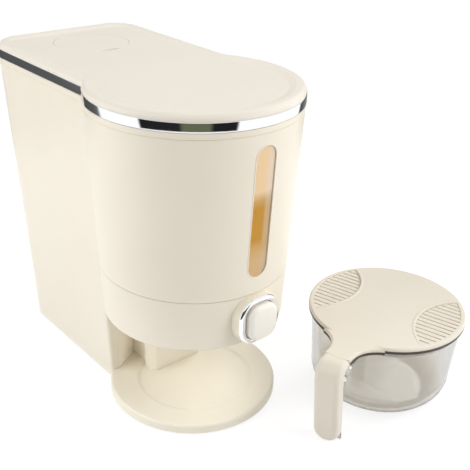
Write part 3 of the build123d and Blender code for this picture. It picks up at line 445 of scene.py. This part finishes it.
def grid_mesh(name, points, closed_rows=False, closed_columns=False):
    """A mesh from grids of points (copies, rows, columns, 3).

    Doubles are merged, so that poles close, and the faces turn outwards.
    """
    points = points.reshape(-1, *points.shape[-3:])
    copies, rows, columns = points.shape[:3]
    quads = grid_faces(rows, columns, closed_rows, closed_columns)
    quads = (quads[None] + rows * columns * np.arange(copies)[:, None, None]).reshape(-1, 4)
    mesh = bpy.data.meshes.new(name)
    mesh.from_pydata(points.reshape(-1, 3).tolist(), [], quads.tolist())
    shape = bmesh.new()
    shape.from_mesh(mesh)
    bmesh.ops.remove_doubles(shape, verts=shape.verts, dist=MERGE_DISTANCE)
    bmesh.ops.recalc_face_normals(shape, faces=shape.faces)
    shape.to_mesh(mesh)
    shape.free()
    mesh.polygons.foreach_set("use_smooth", np.ones(len(mesh.polygons), bool))
    mesh.update()
    return mesh


def place_object(name, data):
    """A new object for a mesh, lamp or camera, linked to the scene."""
    made = bpy.data.objects.new(name, data)
    bpy.context.scene.collection.objects.link(made)
    return made


def fine_piece(name, mesh, material, body, slot, *replaced):
    """A finished piece on a body, with its material, in place of the CAD nodes named. The slot is not used.
    """
    piece = place_object(name, mesh)
    mesh.materials.append(material)
    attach(piece, body)
    if replaced:
        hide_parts(*replaced)
    return piece


def circle(steps):
    """Angles all round, each once."""
    return np.linspace(0, 2 * np.pi, steps + 1)[:-1]


def arc_track(arcs, steps):
    """A closed plan of tangent arcs.

    Each arc has a centre, a radius, a side (1 where it bulges outwards, else -1) and two directions.
    """
    turns = [np.linspace(start, end, steps) for _, _, _, start, end in arcs]
    direction = np.concatenate([np.stack([np.cos(turn), np.sin(turn)], axis=-1) for turn in turns])
    centre = np.repeat([arc[0] for arc in arcs], steps, axis=0)
    radius = np.repeat([arc[1] for arc in arcs], steps)
    side = np.repeat([arc[2] for arc in arcs], steps)
    return centre, radius, side, direction


def carry(track, inset):
    """The track's points set in by each inset, as (insets, steps, 2).

    point = centre + (radius - side * inset) * direction
    """
    centre, radius, side, direction = track
    reach = radius - side * np.asarray(inset)[:, None]
    return centre + reach[..., None] * direction


def lid_track():
    """The lid band's plan: the drum's arc, two hollow necks and two rear corners, with straight runs."""
    low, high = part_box("lid_band")
    drum = -low.y
    half = drum - NECK_STEP
    rear = high.y - REAR_R
    corner_x = half - REAR_R
    neck_x = half + NECK_R
    neck_y = np.sqrt((drum + NECK_R) ** 2 - neck_x ** 2)
    lean = np.arctan2(neck_y, neck_x)
    return arc_track((
        ((0, 0), drum, 1, np.pi - lean, 2 * np.pi + lean),
        ((neck_x, neck_y), NECK_R, -1, np.pi + lean, np.pi),
        ((corner_x, rear), REAR_R, 1, 0, np.pi / 2),
        ((-corner_x, rear), REAR_R, 1, np.pi / 2, np.pi),
        ((-neck_x, neck_y), NECK_R, -1, 0, -lean),
    ), PLAN_STEPS)


def upright(plan, heights):
    """Points of a plan (rows, steps, 2) with one height for each row."""
    level = np.broadcast_to(np.asarray(heights)[:, None, None], (*plan.shape[:2], 1))
    return np.concatenate([plan, level], axis=-1)


def band_mesh(edge):
    """Bright band: a flat strip with quarter-round edges, its section carried round the lid's plan.

    Lower edge: inset = edge * (1 - sin t), z = low + edge * (1 - cos t). The upper edge mirrors it.
    """
    low, high = (corner.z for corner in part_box("lid_band"))
    turn = np.linspace(0, np.pi / 2, EDGE_STEPS)
    rise = edge * (1 - np.cos(turn))
    fall = edge * (1 - np.sin(turn))
    inset = np.concatenate([[BAND_WALL], fall, rise, [BAND_WALL]])
    height = np.concatenate([[low], low + rise, high - fall, [high]])
    return grid_mesh("Lid_band", upright(carry(lid_track(), inset), height), True, True)


def seal_mesh(groove):
    """Gasket: its outer side is a wave of ribs, inset = outer + groove * (1 - |sin(ribs * pi * v)|)."""
    low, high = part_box("lid_seal")
    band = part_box("lid_band")[0]
    outer = low.y - band.y
    v = np.linspace(0, 1, RIB_STEPS * SEAL_RIBS + 1)
    wave = outer + groove * (1 - np.abs(np.sin(SEAL_RIBS * np.pi * v)))
    inset = np.concatenate([wave, [SEAL_INSET, SEAL_INSET]])
    height = np.concatenate([low.z + (high.z - low.z) * v, [high.z, low.z]])
    return grid_mesh("Lid_seal", upright(carry(lid_track(), inset), height), True, True)


def drum_radius(z):
    """Radius of the tapered drum at a height, straight from its rim to its underside."""
    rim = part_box("body_shell")
    foot_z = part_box("drum_base")[0].z
    return -rim[0].y - DRUM_DRAFT * (rim[1].z - z) / (rim[1].z - foot_z)


def bead_mesh(width, height):
    """Bead round the window: an ellipse, half of it sunk, carried round the slot and laid on the drum.

    reach = half + width / 2 * (1 + cos s), y = -sqrt(R(z) ** 2 - x ** 2) - height * sin s
    """
    low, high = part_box("window_lens")
    half = high.x - LENS_FLANGE
    foot = low.z + LENS_FLANGE + half
    head = high.z - LENS_FLANGE - half
    rise = np.linspace(foot, head, BEAD_STEPS)
    turn = np.linspace(0, np.pi, BEAD_STEPS)
    level = np.concatenate([rise, np.full(BEAD_STEPS, head), rise[::-1], np.full(BEAD_STEPS, foot)])
    angle = np.concatenate([0 * turn, turn, 0 * turn + np.pi, turn + np.pi])
    section = circle(SECTION_STEPS)[:, None]
    reach = half + width / 2 * (1 + np.cos(section))
    x = reach * np.cos(angle)
    z = level + reach * np.sin(angle)
    y = -np.sqrt(drum_radius(z) ** 2 - x ** 2) - height * np.sin(section)
    return grid_mesh("Window_bead", np.stack([x, y, z], axis=-1), True, True)


def turned(radius, height, centres, steps=TURN_STEPS):
    """Profile turned about upright axes, as (copies, profile, steps, 3).

    x = radius * cos t, y = radius * sin t and z = height, which may change with t.
    """
    turn = circle(steps)
    radius = np.broadcast_to(np.asarray(radius)[:, None], (len(radius), steps))
    height = np.broadcast_to(np.asarray(height).reshape(len(radius), -1), radius.shape)
    ring = np.stack([radius * np.cos(turn), radius * np.sin(turn), height], axis=-1)
    place = np.array([(x, y, 0) for x, y in centres])
    return ring[None] + place[:, None, None]


def pads_mesh(dome):
    """Foot pads: discs with a quarter-round lower edge and a slightly hollow face, turned.

    Edge: r = R - dome * (1 - sin t), z = low + dome * (1 - cos t).
    Face: z = low + hollow * dome * cos(pi v / 2) ** 2.
    """
    low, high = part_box("foot_pads")
    side = high.x - PAD_R
    front = low.y + PAD_R
    rear = high.y - PAD_R
    pairs = ((side, PAD_SIDE_Y), (PAD_REAR_X, rear))
    places = [(0, 0), (0, front)] + [(sign * x, y) for x, y in pairs for sign in (-1, 1)]
    turn = np.linspace(0, np.pi / 2, PAD_STEPS)
    flat = np.linspace(0, 1, PAD_STEPS)[:-1]
    face = PAD_HOLLOW * dome * np.cos(np.pi * flat / 2) ** 2
    radius = np.concatenate([flat * (PAD_R - dome), PAD_R - dome * (1 - np.sin(turn)), [PAD_R, 0]])
    height = np.concatenate([low.z + face, low.z + dome * (1 - np.cos(turn)), [high.z, high.z]])
    return grid_mesh("Foot_pads", turned(radius, height, places), False, True)


def smooth_bar(along, across, head):
    """A soft-edged bar through the middle: 1 inside, falling to 0 over its edge, both ways."""
    ends = np.clip((CROSS_REACH * head - np.abs(along)) / (CROSS_END * head), 0, 1)
    sides = np.clip((CROSS_HALF * head - np.abs(across)) / (CROSS_SIDE * head), 0, 1)
    return ends * sides


def screws_mesh(depth):
    """Countersunk screws: a head face with a cross recess, then cone and shank, turned.

    Face: z = low + depth * max(bar(x, y), bar(y, x))
    """
    low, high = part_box("base_screws")
    head = SCREW_HEAD_R
    pairs = ((high.x - head, low.y + head), (SCREW_REAR_X, high.y - head))
    centres = [(sign * x, y) for x, y in pairs for sign in (-1, 1)]
    turn = circle(SCREW_STEPS)
    share = np.linspace(0, 1, CROSS_STEPS)
    x = head * share[:, None] * np.cos(turn)
    y = head * share[:, None] * np.sin(turn)
    face = low.z + depth * np.maximum(smooth_bar(x, y, head), smooth_bar(y, x, head))
    above = np.repeat([[low.z + SCREW_CONE], [high.z], [high.z]], SCREW_STEPS, axis=1)
    radius = np.concatenate([head * share, [SCREW_SHANK_R, SCREW_SHANK_R, 0]])
    height = np.concatenate([face, above])
    return grid_mesh("Base_screws", turned(radius, height, centres, SCREW_STEPS), False, True)


def ridges_mesh(width, height):
    """Ridge beside each slot field of the cup's lid: an ellipse, half of it sunk, along the inner arc.

    radius = arc + width / 2 * (1 + taper * cos s), z = lid + height * taper * sin s, and
    taper = sqrt(1 - v ** 4), which brings it to nothing at both ends.
    """
    low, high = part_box("cup_trim")
    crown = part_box("cup_lid")[1].z
    lid_r = (high.y - low.y) / 2
    axis_x = high.x - lid_r
    axis_y = low.y + lid_r
    outer = lid_r - FIELD_MARGIN
    near = outer - FIELD_DEPTH
    bulge = np.sqrt(outer ** 2 - FIELD_HALF ** 2) - near
    arc_r = (FIELD_HALF ** 2 + bulge ** 2) / (2 * bulge)
    reach = np.arcsin(FIELD_HALF / arc_r)
    along = np.linspace(-1, 1, RIDGE_STEPS)
    taper = np.sqrt(1 - along ** 4)
    section = circle(SECTION_STEPS)[:, None]
    radius = arc_r + width / 2 * (1 + taper * np.cos(section))
    x = radius * np.sin(reach * along)
    y = near + arc_r - radius * np.cos(reach * along)
    z = crown - CUP_CROWN * (x ** 2 + y ** 2) / lid_r ** 2 + height * taper * np.sin(section)
    sides = np.array([1.0, -1.0])[:, None, None]
    flat_x = sides * x
    flat_y = sides * y
    cos, sin = np.cos(HANDLE_TURN), np.sin(HANDLE_TURN)
    points = [axis_x + cos * flat_x - sin * flat_y, axis_y + sin * flat_x + cos * flat_y, 0 * sides + z]
    return grid_mesh("Cup_field_ridges", np.stack(points, axis=-1), True, False)


def spring_mesh(wire):
    """Return spring: the wire's circle carried round a helix whose two end turns lie close.

    x = r * cos(2 pi t), z = r * sin(2 pi t), y = rise(t) + thick * sin s, r = coil + thick * cos s.
    The end rings shrink to their middles, which closes the wire.
    """
    low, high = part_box("return_spring")
    middle = (low + high) / 2
    length = high.y - low.y - wire
    close = CLOSE_PITCH * wire
    turn = np.linspace(0, SPRING_TURNS, COIL_STEPS * SPRING_TURNS + 1)
    turn = np.concatenate([turn[:1], turn, turn[-1:]])
    rise = np.interp(turn, (0, 1, SPRING_TURNS - 1, SPRING_TURNS), (0, close, length - close, length))
    thick = np.full(turn.size, wire / 2)
    thick[[0, -1]] = 0
    section = circle(WIRE_STEPS)[:, None]
    reach = (high.x - low.x - wire) / 2 + thick * np.cos(section)
    x = middle.x + reach * np.cos(2 * np.pi * turn)
    y = low.y + wire / 2 + rise + thick * np.sin(section)
    z = middle.z + reach * np.sin(2 * np.pi * turn)
    return grid_mesh("Return_spring", np.stack([x, y, z], axis=-1), True, False)


# Operators


class RICEBOX_OT_housing(bpy.types.Operator):
    """Finish the body, drum base, alcove and tray."""

    bl_idname = "ricebox.housing"
    bl_label = "Housing"

    def execute(self, context):
        c = colours()
        dress(moulded_plastic("Body cream", c.body, roughness=0.34), "body_shell", "drum_base")
        dress(moulded_plastic("Tray cream", c.tray, roughness=0.38),
              "base_tray", "alcove_panel", "base_plate")
        return {"FINISHED"}


class RICEBOX_OT_lid(bpy.types.Operator):
    """Finish the lid, its cap and basket, and the button's ring."""

    bl_idname = "ricebox.lid"
    bl_label = "Lid"

    def execute(self, context):
        c = colours()
        dress(moulded_plastic("Lid cream", c.lid, roughness=0.36), "top_lid", "desiccant_cap")
        dress(metal("Chrome", c.chrome, roughness=0.05), "button_ring")
        dress(moulded_plastic("Basket plastic", c.inner, roughness=0.4), "desiccant_basket")
        return {"FINISHED"}


class RICEBOX_OT_works(bpy.types.Operator):
    """Finish the window, button, gate, inner pieces and housing screws."""

    bl_idname = "ricebox.works"
    bl_label = "Window, button and works"

    def execute(self, context):
        c = colours()
        dress(amber_strip("Amber"), "window_lens")
        dress(moulded_plastic("Button cream", c.button, roughness=0.3), "push_button")
        dress(moulded_plastic("Inner plastic", c.inner, roughness=0.4), "hopper", "outlet_chute")
        dress(moulded_plastic("Guide plastic", c.guide, roughness=0.35), "gate", "gate_guide", "push_rod")
        dress(metal("Steel", c.steel, roughness=0.3), "housing_screws")
        return {"FINISHED"}


class RICEBOX_OT_spring(bpy.types.Operator):
    """Make the return spring. In the real box it shortens towards its bridge as the button goes in."""

    bl_idname = "ricebox.spring"
    bl_label = "Return spring"

    def execute(self, context):
        spring = fine_piece("Return_spring", spring_mesh(sizes().spring_wire), bpy.data.materials["Steel"],
                            "housing", "spring_steel", "return_spring")
        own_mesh(spring)
        return {"FINISHED"}


class RICEBOX_OT_cup(bpy.types.Operator):
    """Finish the cup."""

    bl_idname = "ricebox.cup"
    bl_label = "Cup"

    def execute(self, context):
        c = colours()
        # The bowl's base colour is painted shade under the lid
        dress(clear_plastic("Clear plastic", c.clear, c.bowl_painted_shade, roughness=0.1), "cup_bowl")
        dress(moulded_plastic("Cup cream", c.cup, roughness=0.36), "cup_lid", "cup_handle_cover")
        # The trim ring gets its painted dark reflection as its colour
        dress(moulded_plastic("Dark trim", c.trim, roughness=0.3), "cup_trim")
        return {"FINISHED"}


class RICEBOX_OT_trim(bpy.types.Operator):
    """Make the lid's bright band and the bead round the window."""

    bl_idname = "ricebox.trim"
    bl_label = "Band and window bead"

    def execute(self, context):
        size = sizes()
        fine_piece("Lid_band", band_mesh(size.band_edge), bpy.data.materials["Chrome"],
                   "lid", "chrome", "lid_band")
        fine_piece("Window_bead", bead_mesh(size.bead_width, size.bead_height),
                   bpy.data.materials["Body cream"], "housing", "body_cream")
        return {"FINISHED"}


class RICEBOX_OT_soft(bpy.types.Operator):
    """Make the lid's seal and the foot pads."""

    bl_idname = "ricebox.soft"
    bl_label = "Seal and pads"

    def execute(self, context):
        c = colours()
        size = sizes()
        seal = moulded_plastic("Seal rubber", c.rubber, roughness=0.6, specular=0.3)
        fine_piece("Lid_seal", seal_mesh(size.seal_rib), seal, "lid", "seal_rubber", "lid_seal")
        pad = moulded_plastic("Pad rubber", c.pad, roughness=0.7, height=0.06, specular=0.3)
        fine_piece("Foot_pads", pads_mesh(size.pad_dome), pad, "housing", "pad_rubber", "foot_pads")
        return {"FINISHED"}


class RICEBOX_OT_screws(bpy.types.Operator):
    """Make the screws of the base plate."""

    bl_idname = "ricebox.screws"
    bl_label = "Base screws"

    def execute(self, context):
        fine_piece("Base_screws", screws_mesh(sizes().cross_depth), bpy.data.materials["Steel"],
                   "housing", "screw_steel", "base_screws")
        return {"FINISHED"}


class RICEBOX_OT_ridges(bpy.types.Operator):
    """Make the ridges beside the drain slots of the cup's lid."""

    bl_idname = "ricebox.ridges"
    bl_label = "Cup lid ridges"

    def execute(self, context):
        size = sizes()
        fine_piece("Cup_field_ridges", ridges_mesh(size.ridge_width, size.ridge_height),
                   bpy.data.materials["Cup cream"], "cup_cover", "lid_cream")
        return {"FINISHED"}


# Studio

CAMERA_PLACE = Vector((-0.40475, -0.52067, 0.50200))
CAMERA_AIM = Vector((0.03581, -0.01726, 0.16290))
SENSOR_WIDTH = 36          # millimetres
CLIP_START = 0.01
FLOOR_HALF = 4.0
FLOOR_BOUNCE = 0.72        # grey of the floor for light that bounces
FLOOR_SEEN = 0.30          # grey and glow of the floor where it is seen
FLOOR_GLOW = 0.80
SHADOW_REACH = 0.5         # the floor's shading fades to white between this and twice this
WALL_RADIUS = 0.72
WALL_FOOT = 0.002
WALL_HEIGHT = 0.55
WALL_STEPS = 181
LAMP_TINT = (0.95, 0.972, 1.0)
AMBIENT_TINT = (1.0, 0.95, 0.89)
SPOT_BLEND = 0.7
SPOT_RADIUS = 0.06

# Direction in degrees from the front towards +X, and the grey of the card there
CARD_GREYS = (
    (-180, 0.07), (-150, 0.10), (-143, 0.16), (-138, 1.1), (-91, 1.1), (-89, 0.015), (-52, 0.02),
    (-20, 0.015), (2, 0.015), (4, 1.1), (86, 1.1), (90, 0.06), (112, 0.25), (150, 0.5),
)
OLIVE = (0.13, 0.14, 0.08)
OLIVE_STOPS = (-48, -24)

# A lamp with a size is a soft box; one with a cone is a spot for a place that the soft boxes hardly reach
LAMPS = {
    "left": {"place": (-1.22, 0.55, 0.75), "aim": (0, 0.05, 0.15), "size": (1.4, 1.2)},
    "right": {"place": (0.86, -1.22, 1.25), "aim": (0, -0.05, 0.1), "size": (1.2, 1.2)},
    "side": {"place": (1.4, 0.25, 1.15), "aim": (0, 0, 0.08), "size": (1.0, 1.0)},
    "front": {"place": (0.4, -1.35, 0.2), "aim": (0, 0, 0.04), "size": (1.0, 0.35)},
    "alcove": {"place": (-0.71, -0.78, 0.18), "aim": (-0.015, 0.045, 0.045), "cone": radians(5.5)},
    "tray": {"place": (1.2, 0.2, 0.46), "aim": (0.08, -0.05, 0.012), "cone": radians(6)},
    "top": {"place": (0.1, 0.1, 1.7), "aim": (0, 0.05, 0.2), "size": (1.6, 1.6)},
}


def background_share(tree):
    """1 for rays that see the studio straight, in a mirror or through glass."""
    path = add_node(tree, "ShaderNodeLightPath").outputs
    either = math_node(tree, "MAXIMUM", path["Is Camera Ray"], path["Is Glossy Ray"])
    return math_node(tree, "MAXIMUM", either, path["Is Transmission Ray"])


def floor_material():
    """Pale floor: plain grey for light that bounces.

    Where it is seen, it is white with a faint shadow near the object.
    """
    material, tree, shader = new_material("Studio floor")
    link = tree.links.new
    set_inputs(shader, Base_Color=grey(FLOOR_BOUNCE), Roughness=0.8)
    shaded = add_node(tree, "ShaderNodeBsdfDiffuse", Color=grey(FLOOR_SEEN))
    glow = add_node(tree, "ShaderNodeEmission", Strength=FLOOR_GLOW)
    near = add_node(tree, "ShaderNodeAddShader")
    far = add_node(tree, "ShaderNodeEmission", Strength=1.0)
    place = add_node(tree, "ShaderNodeTexCoord")
    reach = add_node(tree, "ShaderNodeVectorMath")
    reach.operation = "LENGTH"
    fade = add_node(tree, "ShaderNodeMapRange", From_Min=SHADOW_REACH, From_Max=2 * SHADOW_REACH)
    fade.interpolation_type = "SMOOTHSTEP"
    link(shaded.outputs[0], near.inputs[0])
    link(glow.outputs[0], near.inputs[1])
    link(place.outputs["Object"], reach.inputs[0])
    link(reach.outputs["Value"], fade.inputs["Value"])
    seen = mix_shaders(tree, fade.outputs["Result"], near, far)
    mix = mix_shaders(tree, background_share(tree), shader, seen)
    link(mix.outputs[0], tree.nodes["Material Output"].inputs["Surface"])
    return material


def wall_material():
    """Cards round the object that only mirrors see: white at the soft boxes, dark between them."""
    material, tree, shader = new_material("Studio cards")
    link = tree.links.new
    axis = object_axes(tree)
    turn = math_node(tree, "ARCTAN2", axis["X"], math_node(tree, "MULTIPLY", axis["Y"], -1.0))
    share = add_node(tree, "ShaderNodeMapRange", From_Min=-np.pi, From_Max=np.pi)
    ramp = add_node(tree, "ShaderNodeValToRGB")
    cards = [(degrees, (level, level, level)) for degrees, level in CARD_GREYS]
    cards += [(degrees, OLIVE) for degrees in OLIVE_STOPS]
    fill_ramp(ramp, [((degrees + 180) / 360, colour) for degrees, colour in sorted(cards)])
    glow = add_node(tree, "ShaderNodeEmission")
    link(turn, share.inputs["Value"])
    link(share.outputs["Result"], ramp.inputs["Fac"])
    link(ramp.outputs["Color"], glow.inputs["Color"])
    link(glow.outputs[0], tree.nodes["Material Output"].inputs["Surface"])
    tree.nodes.remove(shader)
    return material


def add_camera(scene):
    """The camera of the photo's view."""
    s = studio()
    camera = place_object("Camera", bpy.data.cameras.new("Camera"))
    camera.data.sensor_width = SENSOR_WIDTH
    camera.data.lens = s.lens
    camera.data.clip_start = CLIP_START
    camera.location = CAMERA_PLACE
    camera.rotation_mode = "QUATERNION"
    aim = (CAMERA_AIM - CAMERA_PLACE).to_track_quat("-Z", "Y")
    camera.rotation_quaternion = aim @ Quaternion((0, 0, 1), -s.roll)
    scene.camera = camera


def add_floor():
    """A flat square, z = 0."""
    across = np.linspace(-FLOOR_HALF, FLOOR_HALF, 2)
    x, y = np.meshgrid(across, across)
    floor = place_object("Studio_floor", grid_mesh("Studio_floor", np.stack([x, y, 0 * x], axis=-1)))
    floor.data.materials.append(floor_material())
    return floor


def add_cards():
    """A ring of cards, x = R * sin t, y = -R * cos t, that shows in mirrors only."""
    angle, height = np.meshgrid(np.linspace(0, 2 * np.pi, WALL_STEPS), (WALL_FOOT, WALL_HEIGHT))
    ring = np.stack([WALL_RADIUS * np.sin(angle), -WALL_RADIUS * np.cos(angle), height], axis=-1)
    cards = place_object("Studio_cards", grid_mesh("Studio_cards", ring))
    cards.data.materials.append(wall_material())
    for kind in ("camera", "diffuse", "transmission", "volume_scatter", "shadow"):
        setattr(cards, f"visible_{kind}", False)
    return cards


def add_lamp(key, place, aim, size=None, cone=None):
    """A lamp aimed at a point, with the power of the setting of that name."""
    name = f"{key.capitalize()}_lamp"
    lamp = bpy.data.lights.new(name, "SPOT" if cone else "AREA")
    if cone:
        lamp.spot_size = cone
        lamp.spot_blend = SPOT_BLEND
        lamp.shadow_soft_size = SPOT_RADIUS
    else:
        lamp.shape = "RECTANGLE"
        lamp.size, lamp.size_y = size
        lamp.color = LAMP_TINT
    lamp.energy = getattr(studio(), key)
    made = place_object(name, lamp)
    made.location = place
    made.rotation_euler = (Vector(aim) - Vector(place)).to_track_quat("-Z", "Y").to_euler()
    made.visible_glossy = False


def add_world(scene):
    """White where it is seen, and a warm ambient light for the rest."""
    world = bpy.data.worlds.new("Studio")
    scene.world = world
    world.use_nodes = True
    tree = world.node_tree
    plain = set_inputs(tree.nodes["Background"], Color=rgba(AMBIENT_TINT), Strength=studio().ambient)
    white = add_node(tree, "ShaderNodeBackground", Color=grey(1.0), Strength=1.0)
    mix = mix_shaders(tree, background_share(tree), plain, white)
    tree.links.new(mix.outputs[0], tree.nodes["World Output"].inputs["Surface"])


class RICEBOX_OT_stage(bpy.types.Operator):
    """Make the camera, floor, cards, lamps and world."""

    bl_idname = "ricebox.stage"
    bl_label = "Studio"

    def execute(self, context):
        scene = context.scene
        scene.view_settings.view_transform = "Standard"
        add_camera(scene)
        floor = add_floor()
        cards = add_cards()
        for key, lamp in LAMPS.items():
            add_lamp(key, **lamp)
        add_world(scene)
        return {"FINISHED"}


class RICEBOX_PT_panel(bpy.types.Panel):
    """Lists the operators and settings."""

    bl_idname = "RICEBOX_PT_panel"
    bl_label = "Rice storage box"
    bl_space_type = "VIEW_3D"
    bl_region_type = "UI"
    bl_category = "Rice box"

    def draw(self, context):
        for operator in OPERATORS:
            self.layout.operator(operator.bl_idname)
        for group in (colours(), sizes(), studio()):
            column = self.layout.column()
            for name in group.bl_rna.properties.keys():
                if name not in ("rna_type", "name"):
                    column.prop(group, name)


GROUPS = {
    "rice_box_colours": RiceBoxColours,
    "rice_box_sizes": RiceBoxSizes,
    "rice_box_studio": RiceBoxStudio,
}
OPERATORS = (
    RICEBOX_OT_housing, RICEBOX_OT_lid, RICEBOX_OT_works, RICEBOX_OT_spring, RICEBOX_OT_cup,
    RICEBOX_OT_trim, RICEBOX_OT_soft, RICEBOX_OT_screws, RICEBOX_OT_ridges, RICEBOX_OT_stage,
)


def register():
    """Registers the settings, operators and panel."""
    for name, group in GROUPS.items():
        bpy.utils.register_class(group)
        setattr(bpy.types.Scene, name, bpy.props.PointerProperty(type=group))
    for operator in OPERATORS:
        bpy.utils.register_class(operator)
    bpy.utils.register_class(RICEBOX_PT_panel)


def unregister():
    """Takes them away again."""
    bpy.utils.unregister_class(RICEBOX_PT_panel)
    for operator in reversed(OPERATORS):
        bpy.utils.unregister_class(operator)
    for name, group in GROUPS.items():
        delattr(bpy.types.Scene, name)
        bpy.utils.unregister_class(group)


def main():
    """Makes every piece in order."""
    register()
    bpy.ops.ricebox.housing()
    bpy.ops.ricebox.lid()
    bpy.ops.ricebox.works()
    bpy.ops.ricebox.spring()
    bpy.ops.ricebox.cup()
    bpy.ops.ricebox.trim()
    bpy.ops.ricebox.soft()
    bpy.ops.ricebox.screws()
    bpy.ops.ricebox.ridges()
    bpy.ops.ricebox.stage()


if __name__ == "__main__":
    main()
